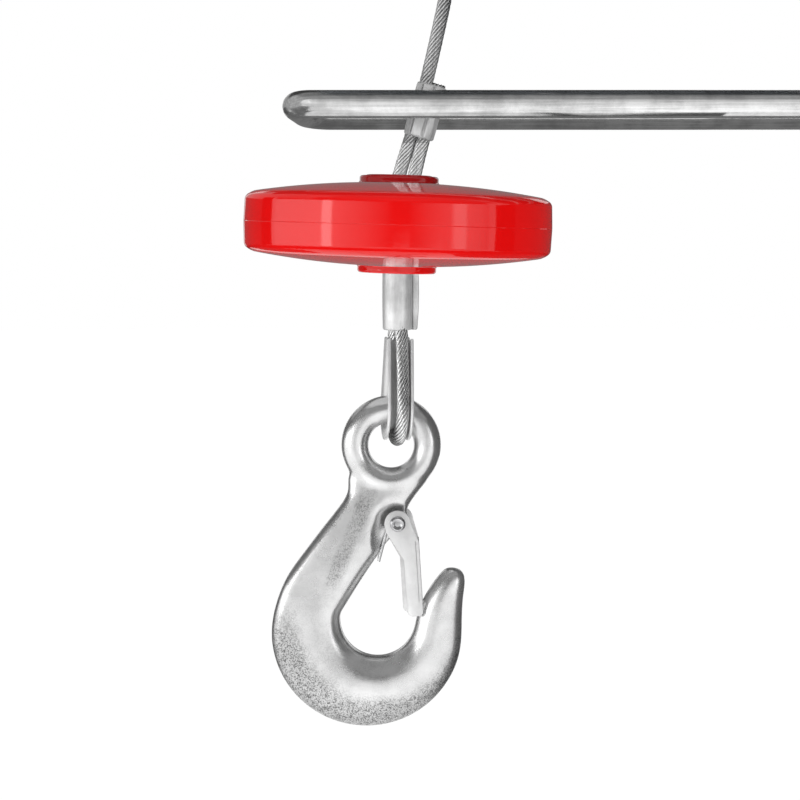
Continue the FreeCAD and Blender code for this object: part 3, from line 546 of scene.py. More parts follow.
@dataclass(frozen=True)
class MattPlastic:
    """Moulded engineering plastic with a fine eroded texture."""

    name: str
    colour: Rgb
    deep: Rgb
    rough: float = 0.5
    rough_spread: float = 0.12
    cloud_scale: float = 120.0
    spark_scale: float = 2600.0
    spark_depth: float = 0.00003

    def material(self) -> bpy.types.Material:
        """Makes the material.

        Returns:
            The material.
        """
        paint = Paint(self.name)
        spot = paint.place()
        spark = paint.noise(spot, self.spark_scale)
        cloud = paint.noise(spot, self.cloud_scale, detail=3.0)
        return paint.dress(
            Base_Color=paint.mix(cloud, self.deep, self.colour),
            Roughness=self.rough + (cloud - 0.5) * self.rough_spread,
            Normal=paint.bump(spark, self.spark_depth))


@dataclass(frozen=True)
class PowderCoat:
    """Satin powder coat: orange-peel skin with pale scuffs."""

    name: str = "powder_coat"
    colour: Rgb = (0.105, 0.115, 0.125)
    pale: Rgb = (0.17, 0.18, 0.19)
    rough: float = 0.42
    rough_spread: float = 0.16
    scuff_shine: float = 0.1
    cloud_scale: float = 70.0
    peel_scale: float = 900.0
    peel_depth: float = 0.00008
    scuff_stretch: Spot = (30.0, 260.0, 260.0)
    scuff_from: float = 0.60
    scuff_to: float = 0.72

    def material(self) -> bpy.types.Material:
        """Makes the material.

        Returns:
            The material.
        """
        paint = Paint(self.name)
        spot = paint.place()
        peel = paint.noise(spot, self.peel_scale)
        cloud = paint.noise(spot, self.cloud_scale, detail=4.0, roughness=0.6)
        scuff = paint.noise(paint.place(self.scuff_stretch), 1.0, detail=5.0, roughness=0.7)
        scuff = scuff.between(self.scuff_from, self.scuff_to)
        return paint.dress(
            Base_Color=paint.mix(cloud * 0.6 + scuff * 0.4, self.colour, self.pale),
            Roughness=self.rough + cloud * self.rough_spread - scuff * self.scuff_shine,
            Normal=paint.bump(peel, self.peel_depth))


@dataclass
class Palette:
    """All finishes of the part, made once."""

    rod: bpy.types.Material = field(init=False)
    hook: bpy.types.Material = field(init=False)
    rope: bpy.types.Material = field(init=False)
    core: bpy.types.Material = field(init=False)
    ferrule: bpy.types.Material = field(init=False)
    sheet: bpy.types.Material = field(init=False)
    thimble: bpy.types.Material = field(init=False)
    steel: bpy.types.Material = field(init=False)
    spring: bpy.types.Material = field(init=False)
    red: bpy.types.Material = field(init=False)
    coat: bpy.types.Material = field(init=False)
    bronze: bpy.types.Material = field(init=False)
    iron: bpy.types.Material = field(init=False)
    black: bpy.types.Material = field(init=False)
    white: bpy.types.Material = field(init=False)
    brass: bpy.types.Material = field(init=False)

    def __post_init__(self) -> None:
        """Makes every material."""
        self.rod = Metal("drawn_rod", grey(0.80), grey(0.46), 0.14, 0.28, cloud_scale=110.0,
                         streak=(0.03, 1.0, 1.0), streak_scale=1500.0, streak_depth=0.000008).material()
        self.hook = ForgedZinc().material()
        self.rope = RopeWire().material()
        self.core = Metal("rope_core", grey(0.05), grey(0.02), 0.5, 0.7, cloud_scale=300.0).material()
        self.ferrule = Metal("pressed_aluminium", grey(0.82), grey(0.56), 0.36, 0.54, cloud_scale=160.0,
                             streak=(1.0, 1.0, 0.06), streak_scale=900.0, streak_depth=0.00004,
                             metallic=0.5).material()
        self.sheet = Metal("latch_sheet", grey(0.74), grey(0.66), 0.34, 0.48, cloud_scale=140.0,
                           metallic=0.6).material()
        self.thimble = Metal("thimble_zinc", grey(0.86), grey(0.70), 0.26, 0.42, cloud_scale=150.0,
                             streak=(1.0, 1.0, 0.2), streak_scale=700.0, streak_depth=0.00002,
                             metallic=0.5).material()
        self.steel = Metal("turned_steel", (0.62, 0.62, 0.63), (0.42, 0.42, 0.43), 0.22, 0.38,
                           cloud_scale=120.0).material()
        self.spring = Metal("spring_wire", grey(0.70), (0.40, 0.40, 0.41), 0.18, 0.32,
                            cloud_scale=300.0).material()
        self.red = GlossPlastic("red_moulding", (0.84, 0.004, 0.004), (0.78, 0.003, 0.003)).material()
        self.coat = PowderCoat().material()
        self.bronze = Metal("sintered_bronze", (0.66, 0.46, 0.24), (0.45, 0.30, 0.15), 0.3, 0.5,
                            cloud_scale=200.0).material()
        self.iron = Metal("cast_ring", grey(0.22), (0.12, 0.11, 0.11), 0.5, 0.7).material()
        self.black = MattPlastic("switch_case", (0.035, 0.036, 0.04), (0.02, 0.02, 0.022)).material()
        self.white = MattPlastic("plunger_acetal", (0.80, 0.79, 0.75), (0.70, 0.69, 0.64), 0.4).material()
        self.brass = Metal("stamped_brass", (0.78, 0.62, 0.32), (0.60, 0.45, 0.20), 0.22, 0.38,
                           cloud_scale=200.0).material()


# Mesh making


def upright(axis: Vector, across: Vector) -> Matrix:
    """Turn that stands Z along an axis.

    Args:
        axis: where Z goes.
        across: the direction that X comes as near to as it can.

    Returns:
        The turn.
    """
    z = axis.normalized()
    y = z.cross(across).normalized()
    return Matrix((y.cross(z), y, z)).transposed().to_4x4()


def ends(edges: Iterable[bmesh.types.BMEdge]) -> list[bmesh.types.BMVert]:
    """Every vertex of the edges, once."""
    return list({v for e in edges for v in e.verts})


@dataclass(frozen=True)
class Corner:
    """Corner of a turned profile: radius and height in millimetres, and how far it is rounded."""

    r: float
    h: float
    rounding: float = 0.0
    segments: int = 3


class Shape:
    """A bmesh in millimetres that ends as one object at the origin, in metres."""

    POLE_GAP = 1e-5
    DOUBLE_GAP = 1e-4
    RING_GAP = 1e-3

    def __init__(self) -> None:
        """Starts empty."""
        self.bm = bmesh.new()

    def chain(self, points: Sequence[Vector], closed: bool) -> Edges:
        """Edges through the points, extruded from the first.

        Args:
            points: the corners in order.
            closed: whether the last joins the first.

        Returns:
            The new edges.
        """
        first = last = self.bm.verts.new(points[0])
        edges = []
        for point in points[1:]:
            step = bmesh.ops.extrude_vert_indiv(self.bm, verts=[last])
            edges += step["edges"]
            step["verts"][0].co = point
            last = step["verts"][0]
        if closed:
            edges.append(self.bm.edges.new((last, first)))
        return edges

    def turned(self, profile: Sequence[Corner], steps: int, place: Matrix = Matrix(),
               closed: bool = True) -> None:
        """Solid turned about Z from a profile, with its corners rounded, then moved to its place.

        Args:
            profile: the corners in order; a radius of 0 is a pole.
            steps: faces round the axis.
            place: where the Z axis goes.
            closed: whether the profile's last corner joins its first.
        """
        before = set(self.bm.verts)
        edges = self.chain([Vector((c.r, 0, c.h)) for c in profile], closed)
        bmesh.ops.spin(self.bm, geom=ends(edges) + edges, cent=(0, 0, 0), axis=(0, 0, 1), angle=math.tau,
                       steps=steps, use_merge=True)
        made = [v for v in self.bm.verts if v not in before]
        bmesh.ops.remove_doubles(self.bm, verts=made, dist=self.POLE_GAP)
        for corner in profile:
            if corner.rounding:
                self.round_ring(corner, before)
        made = [v for v in self.bm.verts if v not in before]
        bmesh.ops.transform(self.bm, matrix=place, verts=made)

    def round_ring(self, corner: Corner, skip: set[bmesh.types.BMVert]) -> None:
        """Bevels the circle that a profile's corner made.

        Args:
            corner: the corner.
            skip: vertices of other shapes.
        """
        def on(vert: bmesh.types.BMVert) -> bool:
            """Whether a vertex lies on the corner's circle."""
            beside = abs(vert.co.xy.length - corner.r) < self.RING_GAP
            return vert not in skip and beside and abs(vert.co.z - corner.h) < self.RING_GAP
        edges = [e for e in self.bm.edges if on(e.verts[0]) and on(e.verts[1])]
        self.bevel(edges, corner.rounding, corner.segments)

    def bevel(self, edges: Edges, width: float, segments: int, clamped: bool = False) -> None:
        """Rounds edges by a width; clamped keeps the rounds from running into each other."""
        bmesh.ops.bevel(self.bm, geom=edges, offset=width, segments=segments, profile=0.5,
                        affect="EDGES", clamp_overlap=clamped, material=-1)

    def round_edges(self, width: float, segments: int = 2, sharp: float = 30.0) -> None:
        """Bevels every edge whose faces meet at more than an angle.

        Args:
            width: the rounding.
            segments: steps across it.
            sharp: the angle, in degrees.
        """
        limit = math.radians(sharp)
        edges = [e for e in self.bm.edges if len(e.link_faces) == 2 and e.calc_face_angle(0.0) > limit]
        self.bevel(edges, width, segments, clamped=True)

    def ring(self, place: Matrix, wide: float, thick: float, count: int) -> Edges:
        """Oval of edges in the XY plane of a place.

        Args:
            place: where its middle and plane are.
            wide: its half width along X.
            thick: its half width along Y.
            count: how many edges it has.

        Returns:
            Its edges.
        """
        oval = place @ Matrix.Diagonal((wide, thick, 1.0, 1.0))
        made = bmesh.ops.create_circle(self.bm, segments=count, radius=1.0, matrix=oval)
        return list({e for v in made["verts"] for e in v.link_edges})

    def drawn(self, edges: Edges, move: Vector) -> Edges:
        """Draws a ring of edges out.

        Args:
            edges: the ring.
            move: how far and which way.

        Returns:
            The new ring.
        """
        grown = bmesh.ops.extrude_edge_only(self.bm, edges=edges)["geom"]
        verts = {g for g in grown if isinstance(g, bmesh.types.BMVert)}
        bmesh.ops.translate(self.bm, vec=move, verts=list(verts))
        return [g for g in grown if isinstance(g, bmesh.types.BMEdge) and verts.issuperset(g.verts)]

    def bent(self, edges: Edges, centre: Vector, axis: Vector, angle: float, steps: int) -> Edges:
        """Bends a ring of edges round a centre.

        Args:
            edges: the ring.
            centre: the middle of the bend.
            axis: the bend's axis.
            angle: how far, in radians.
            steps: faces along the bend.

        Returns:
            The last ring.
        """
        turn = bmesh.ops.spin(self.bm, geom=ends(edges) + edges, cent=centre, axis=axis, angle=angle,
                              steps=steps)
        return [g for g in turn["geom_last"] if isinstance(g, bmesh.types.BMEdge)]

    def loft(self, rings: Sequence[Edges]) -> None:
        """Skin over rings, closed at both ends.

        Args:
            rings: the rings in order.
        """
        for first, second in zip(rings, rings[1:]):
            bmesh.ops.bridge_loops(self.bm, edges=first + second)
        for end in (rings[0], rings[-1]):
            bmesh.ops.contextual_create(self.bm, geom=end)

    def plate(self, points: Sequence[Vector], thick: Vector) -> None:
        """Flat plate.

        Args:
            points: its outline.
            thick: its thickness, as a move.
        """
        face = bmesh.ops.contextual_create(self.bm, geom=self.chain(points, True))["faces"]
        grown = bmesh.ops.extrude_face_region(self.bm, geom=face, use_keep_orig=True)["geom"]
        verts = [g for g in grown if isinstance(g, bmesh.types.BMVert)]
        bmesh.ops.translate(self.bm, vec=thick, verts=verts)

    def tidy(self) -> None:
        """Merges doubles and turns every face outwards."""
        bmesh.ops.remove_doubles(self.bm, verts=self.bm.verts, dist=self.DOUBLE_GAP)
        bmesh.ops.recalc_face_normals(self.bm, faces=self.bm.faces)

    def add_object(self, obj: bpy.types.Object) -> None:
        """Adds a finished object's mesh, brought back to millimetres.

        Args:
            obj: the object, which is removed.
        """
        grown = obj.data.copy()
        grown.transform(Matrix.Scale(1.0 / MM, 4))
        self.bm.from_mesh(grown)
        bpy.data.objects.remove(obj)

    def object(self, name: str, material: bpy.types.Material, sharp: float = 35.0) -> bpy.types.Object:
        """Ends the shape as an object.

        Args:
            name: the piece's name.
            material: its finish.
            sharp: edges above this angle, in degrees, stay sharp in the shading.

        Returns:
            The linked object, at the origin and in metres.
        """
        bmesh.ops.scale(self.bm, vec=(MM, MM, MM), verts=self.bm.verts)
        made = meshed(name, self.bm)
        dressed(made.data, (material,), sharp)
        return made


def linked(name: str, data: Any) -> bpy.types.Object:
    """New object in the scene.

    Args:
        name: its name.
        data: its mesh, curve, lamp or camera.

    Returns:
        The object.
    """
    made = bpy.data.objects.new(name, data)
    bpy.context.scene.collection.objects.link(made)
    return made


def meshed(name: str, bm: bmesh.types.BMesh) -> bpy.types.Object:
    """New object from a bmesh.

    Args:
        name: its name.
        bm: its mesh, which is freed.

    Returns:
        The object.
    """
    mesh = bpy.data.meshes.new(name)
    bm.to_mesh(mesh)
    bm.free()
    return linked(name, mesh)


def dressed(mesh: bpy.types.Mesh, materials: Iterable[bpy.types.Material], sharp: float) -> None:
    """Gives a mesh its finishes and its shading.

    Args:
        mesh: the mesh.
        materials: its finishes, in the order of its slots.
        sharp: edges above this angle, in degrees, stay sharp in the shading.
    """
    mesh.materials.clear()
    for material in materials:
        mesh.materials.append(material)
    mesh.shade_smooth()
    mesh.set_sharp_from_angle(angle=math.radians(sharp))


def settled(obj: bpy.types.Object) -> bpy.types.Object:
    """Applies an object's modifiers to its mesh.

    Args:
        obj: the object.

    Returns:
        The same object.
    """
    bpy.context.view_layer.update()
    graph = bpy.context.evaluated_depsgraph_get()
    mesh = bpy.data.meshes.new_from_object(obj.evaluated_get(graph))
    obj.modifiers.clear()
    obj.data = mesh
    return obj


def carved(obj: bpy.types.Object, tool: bpy.types.Object, way: Carve) -> None:
    """Combines an object with a tool.

    Args:
        obj: the object that is changed.
        tool: the other shape, which is removed.
        way: whether the tool is joined to the object or cut from it.
    """
    cut = obj.modifiers.new("cut", "BOOLEAN")
    cut.operation = way.value
    cut.solver = "EXACT"
    cut.object = tool
    settled(obj)
    bpy.data.objects.remove(tool)


def placed(obj: bpy.types.Object, place: Matrix, material: bpy.types.Material, sharp: float) -> None:
    """Moves a carved object's mesh to its place and gives it its finish and shading again.

    Args:
        obj: the object.
        place: where it goes, in millimetres.
        material: its finish.
        sharp: edges above this angle, in degrees, stay sharp in the shading.
    """
    obj.data.transform(Matrix.Scale(MM, 4) @ place @ Matrix.Scale(1.0 / MM, 4))
    dressed(obj.data, (material,), sharp)


def softened(node: str, material: bpy.types.Material, width: float) -> bpy.types.Object:
    """Copy of a solid with its doubles merged and its sharp edges rounded.

    Args:
        node: the solid's name.
        material: its finish.
        width: the rounding in millimetres.

    Returns:
        The new piece, which stands for the solid.
    """
    shape = Shape()
    shape.bm.from_mesh(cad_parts[node].data)
    bmesh.ops.scale(shape.bm, vec=(1 / MM,) * 3, verts=shape.bm.verts)
    bmesh.ops.remove_doubles(shape.bm, verts=shape.bm.verts, dist=SOLID_GAP)
    bmesh.ops.dissolve_limit(shape.bm, angle_limit=math.radians(SOLID_FLAT), verts=shape.bm.verts,
                             edges=shape.bm.edges)
    shape.round_edges(width)
    piece = shape.object("soft_" + node, material)
    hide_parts(node)
    return piece


def settle_piece(piece: bpy.types.Object, body: Body,
                 nodes: Iterable[str] = ()) -> bpy.types.Object:
    """Puts a piece on its body and reports it.

    Args:
        piece: the piece.
        body: what it moves with.
        nodes: the solids that it stands for.

    Returns:
        The same piece.
    """
    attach(piece, body.value)
    for node in nodes:
        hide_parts(node)
    log.info("%s on %s: %d faces", piece.name, body.value, len(piece.data.polygons))
    return piece


def paint_node(node: str, material: bpy.types.Material) -> None:
    """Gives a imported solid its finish.

    Args:
        node: the solid's name.
        material: its finish.
    """
    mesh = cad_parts[node].data
    mesh.materials.clear()
    mesh.materials.append(material)
    log.info("%s keeps its solid", node)


# Studio


EVEN: Stops = ((0.0, 1.0), (1.0, 1.0))
BOX_LEFT: Stops = (
    (0.0, 0.02), (0.04, 0.03), (0.21, 0.10), (0.44, 0.24), (0.515, 0.30), (0.525, 0.92), (0.575, 0.92),
    (0.585, 0.40), (0.75, 0.36), (1.0, 0.26))
BOX_RIGHT: Stops = (
    (0.0, 0.14), (0.12, 0.20), (0.26, 0.24), (0.29, 0.46), (0.40, 0.46), (0.45, 0.20), (0.70, 0.115),
    (0.85, 0.06), (1.0, 0.02))
FRONT_LOW: Stops = ((0.0, 1.0), (0.40, 0.9), (0.48, 0.6), (0.56, 0.6), (0.64, 0.9), (1.0, 0.8))
LENS: Stops = ((0.0, 0.22), (0.38, 0.22), (0.42, 1.0), (1.0, 1.0))
AHEAD, BEHIND, UP, DOWN = (0.0, 1.0, 0.0), (0.0, -1.0, 0.0), (0.0, 0.0, 1.0), (0.0, 0.0, -1.0)
ASIDE_LEFT, ASIDE_RIGHT = (0.85, 0.53, 0.0), (-0.766, 0.643, 0.0)
LAMP_LEFT, LAMP_RIGHT = (0.65, 0.76, 0.0), (-0.65, 0.76, 0.0)
FLANK_LEFT, FLANK_RIGHT, FLANK_FORE = (0.777, -0.63, 0.0), (-0.974, -0.224, 0.0), (-0.981, -0.192, 0.0)
FLAG_LEFT, FLAG_RIGHT, FLAG_FAR = (0.53, -0.85, 0.0), (-0.532, -0.847, 0.0), (-1.0, 0.0, 0.0)
ROD_END = (0.966, 0.259, 0.0)


@dataclass(frozen=True)
class Lamp:
    """Large soft lamp: its middle, where it looks, and its share of the lamps' power."""

    name: str
    place: Spot
    facing: Spot
    share: float


@dataclass(frozen=True)
class Card:
    """Card that only reflections see: middle, direction, size, and its glow from end to end."""

    name: str
    place: Spot
    facing: Spot
    width: float
    height: float
    level: float
    stops: Stops = EVEN
    one_sided: bool = False


@dataclass
class Studio:
    """Camera, pale floor, soft lamps, and the cards that reflections see."""

    target: Spot = (-0.0165, 0.0, -0.140)
    eye: Spot = (-0.0165, -0.5997, -0.0873)
    lens: float = 92.1
    sensor: float = 36.0
    clip_start: float = 0.01
    floor_z: float = -0.33
    floor_r: float = 4.0
    floor_sides: int = 64
    floor_colour: Rgb = grey(0.9)
    floor_glow: float = 1.06
    floor_share: float = 0.94
    fill: float = 0.42
    white: float = 1.0
    lamp_power: float = 3.3
    lamp_width: float = 1.3
    lamp_height: float = 0.8
    lens_middle: Spot = (-0.0171, 0.0, -0.0884)
    lens_half: Spot = (0.0445, 0.0445, 0.0115)
    lens_level: float = 0.9
    lens_sides: tuple[int, int] = (48, 16)
    shade_middle: Spot = (-0.0171, 0.0, -0.0996)
    shade_r: float = 0.046
    shade_grow: float = 1.17
    shade_tilt: float = 1.6
    shade_level: float = 0.04
    shade_sides: int = 96
    lamps: tuple[Lamp, ...] = (
        Lamp("lamp_left", (-0.55, -0.65, 0.02), LAMP_LEFT, 1.15),
        Lamp("lamp_right", (0.55, -0.65, 0.02), LAMP_RIGHT, 0.72),
        Lamp("lamp_above", (0.0, 0.0, 0.45), DOWN, 0.45),
        Lamp("lamp_below", (0.0, 0.0, -0.32), UP, 0.35),
    )
    cards: tuple[Card, ...] = (
        Card("box_left", (-0.53, -0.508, -0.09), ASIDE_LEFT, 1.62, 0.26, 5.0, BOX_LEFT),
        Card("box_right", (0.518, -0.774, -0.09), ASIDE_RIGHT, 1.11, 0.26, 5.0, BOX_RIGHT),
        Card("sky_left", (-0.53, -0.508, 0.25), ASIDE_LEFT, 1.62, 0.42, 0.14),
        Card("sky_right", (0.518, -0.774, 0.25), ASIDE_RIGHT, 1.11, 0.42, 0.14),
        Card("gap_front", (-0.01, -1.35, 0.10), AHEAD, 0.42, 0.64, 0.07),
        Card("front_low", (-0.03, -0.62, -0.2475), AHEAD, 0.80, 0.165, 1.2, FRONT_LOW),
        Card("floor_spot", (-0.075, -0.18, -0.328), UP, 0.12, 0.10, 2.2),
        Card("rod_line", (0.03, -0.042, -0.0545), AHEAD, 0.22, 0.016, 0.95),
        Card("rod_front", (0.03, -0.042, -0.04075), AHEAD, 0.22, 0.0115, 0.70),
        Card("rod_above", (0.03, -0.042, -0.0175), AHEAD, 0.22, 0.035, 0.36),
        Card("rod_under", (0.035, 0.00825, -0.065), UP, 0.19, 0.0355, 0.19, EVEN, True),
        Card("rod_fore", (0.044, -0.02765, -0.066), UP, 0.172, 0.0227, 1.25, EVEN, True),
        Card("end_side", (-0.074, -0.020, -0.0405), ROD_END, 0.06, 0.066, 0.5),
        Card("end_glow", (-0.0625, -0.041, -0.0425), AHEAD, 0.035, 0.015, 1.3),
        Card("end_under", (-0.07275, -0.027, -0.0662), UP, 0.0545, 0.035, 0.22, EVEN, True),
        Card("roof", (0.0, -0.59, 0.36), DOWN, 2.6, 1.42, 0.26),
        Card("roof_rear", (0.0, 0.535, 0.36), DOWN, 2.6, 0.83, 0.06),
        Card("back", (-0.0165, 0.6, -0.05), BEHIND, 0.36, 0.6, 0.19),
        Card("flank_left", (-0.162, 0.118, -0.2), FLANK_LEFT, 0.143, 0.27, 0.10),
        Card("flank_rod", (-0.162, 0.118, -0.01), FLANK_LEFT, 0.143, 0.11, 0.45),
        Card("flank_right", (0.064, 0.044, -0.2), FLANK_RIGHT, 0.14, 0.27, 0.08),
        Card("flank_fore", (0.085, -0.0495, -0.23), FLANK_FORE, 0.052, 0.21, 0.08),
        Card("flag_far", (0.16, 0.10, -0.005), FLAG_FAR, 0.26, 0.13, 0.03),
        Card("flag_left", (-0.2285, 0.0485, -0.07), FLAG_LEFT, 0.06, 0.14, 0.03),
        Card("flag_right", (0.118, -0.048, -0.10), FLAG_RIGHT, 0.09, 0.064, 0.02),
    )

    def build(self) -> None:
        """Sets up everything that isn't part of the object."""
        bpy.context.scene.view_settings.view_transform = "Standard"
        self.camera()
        self.world()
        self.floor()
        for lamp in self.lamps:
            self.lamp(lamp)
        for card in self.cards:
            self.card(card)
        self.rim_shade()
        self.disc_lens()

    def disc_lens(self) -> None:
        """Lens inside the disc that stands for it in the metal's reflections, pale above and grey below."""
        bm = bmesh.new()
        place = Matrix.Translation(self.lens_middle) @ Matrix.Diagonal((*self.lens_half, 1.0))
        bmesh.ops.create_uvsphere(bm, u_segments=self.lens_sides[0], v_segments=self.lens_sides[1],
                                  radius=1.0, matrix=place)
        self.glowing("disc_grey", bm, self.lens_level, LENS, along=2)

    def rim_shade(self) -> None:
        """Dark ring under the disc's rim, for the reflections alone."""
        shade = Shape()
        rim = shade.ring(Matrix(), self.shade_r, self.shade_r, self.shade_sides)
        outer = ends(shade.drawn(rim, Vector()))
        bmesh.ops.scale(shade.bm, vec=(self.shade_grow, self.shade_grow, 1.0), verts=outer)
        tilt = Matrix.Rotation(math.radians(self.shade_tilt), 4, "Y")
        bmesh.ops.transform(shade.bm, verts=shade.bm.verts,
                            matrix=Matrix.Translation(self.shade_middle) @ tilt)
        self.glowing("rim_shade", shade.bm, self.shade_level, EVEN)

    def camera(self) -> None:
        """Camera at the photograph's place."""
        data = bpy.data.cameras.new("camera")
        data.lens = self.lens
        data.sensor_width = self.sensor
        data.clip_start = self.clip_start
        made = linked("camera", data)
        made.location = self.eye
        made.rotation_euler = (Vector(self.target) - Vector(self.eye)).to_track_quat("-Z", "Y").to_euler()
        bpy.context.scene.camera = made

    def world(self) -> None:
        """White background with a lower, even fill light."""
        world = bpy.data.worlds.new("studio")
        bpy.context.scene.world = world
        world.use_nodes = True
        nodes = Nodes(world.node_tree)
        shades = []
        for level in (self.fill, self.white):
            shade = nodes.node("ShaderNodeBackground", {}, {"Color": grey(1.0), "Strength": level})
            shades.append(shade.outputs[0])
        nodes.node("ShaderNodeOutputWorld", {}, {"Surface": nodes.blend(nodes.shown(), *shades)})

    def floor(self) -> None:
        """Plain pale floor that shows nearly white and keeps the object's shadow."""
        bm = bmesh.new()
        bmesh.ops.create_circle(bm, cap_ends=True, segments=self.floor_sides, radius=self.floor_r,
                                matrix=Matrix.Translation((0, 0, self.floor_z)))
        made = meshed("floor", bm)
        paint = Paint("floor_white")
        matt = paint.node("ShaderNodeBsdfDiffuse", {}, {"Color": self.floor_colour}).outputs[0]
        glow = paint.node("ShaderNodeEmission", {}, {"Strength": self.floor_glow}).outputs[0]
        surface = paint.blend(paint.shown() * self.floor_share, matt, glow)
        paint.feed(paint.output.inputs["Surface"], surface)
        made.data.materials.append(paint.material)

    def lamp(self, lamp: Lamp) -> None:
        """Hangs one lamp, which lights without being seen.

        Args:
            lamp: the lamp.
        """
        data = bpy.data.lights.new(lamp.name, "AREA")
        data.shape = "RECTANGLE"
        data.size = self.lamp_width
        data.size_y = self.lamp_height
        data.energy = self.lamp_power * lamp.share
        made = linked(lamp.name, data)
        made.location = lamp.place
        made.rotation_euler = Vector(lamp.facing).to_track_quat("-Z", "Y").to_euler()
        made.visible_camera = False
        made.visible_glossy = False

    def card(self, card: Card) -> None:
        """Hangs one card.

        Args:
            card: the card.
        """
        bm = bmesh.new()
        bmesh.ops.create_grid(bm, x_segments=1, y_segments=1, size=0.5,
                              matrix=Matrix.Diagonal((card.width, card.height, 1.0, 1.0)))
        made = self.glowing(card.name, bm, card.level, card.stops, card.width, card.one_sided)
        made.location = card.place
        made.rotation_euler = Vector(card.facing).to_track_quat("Z", "Y").to_euler()

    @staticmethod
    def glowing(name: str, bm: bmesh.types.BMesh, level: float, stops: Stops, width: float = 1.0,
                one_sided: bool = False, along: int = 0) -> bpy.types.Object:
        """Stage object that glows in stops along one of its axes and shows in reflections alone.

        Args:
            name: the object's name.
            bm: its mesh.
            level: the brightest glow, where 1 is white.
            stops: shares of that glow along the width.
            width: its length along that axis.
            one_sided: whether it is clear from behind.
            along: the axis, 0 for X.

        Returns:
            The object, at the origin.
        """
        made = meshed(name, bm)
        paint = Paint(name)
        across = paint.axis(paint.place(), along) * (1.0 / width) + 0.5
        shares = [(at, grey(share)) for at, share in stops]
        ramp = paint.node("ShaderNodeValToRGB", {"stops": shares}, {0: across})
        glow = {"Color": ramp.outputs[0], "Strength": level}
        surface = paint.node("ShaderNodeEmission", {}, glow).outputs[0]
        if one_sided:
            behind = paint.node("ShaderNodeNewGeometry", {}, {}).outputs["Backfacing"]
            clear = paint.node("ShaderNodeBsdfTransparent", {}, {}).outputs[0]
            surface = paint.blend(behind, surface, clear)
        paint.feed(paint.output.inputs["Surface"], surface)
        made.data.materials.append(paint.material)
        for ray in ("camera", "diffuse", "shadow", "transmission", "volume_scatter"):
            setattr(made, "visible_" + ray, False)
        return made


# Sub-assemblies


@dataclass(frozen=True)
class Bearing:
    """Point of the rope's middle line: its place, two cross directions and the length travelled to it."""

    here: Vector
    side: Vector
    up: Vector
    travelled: float


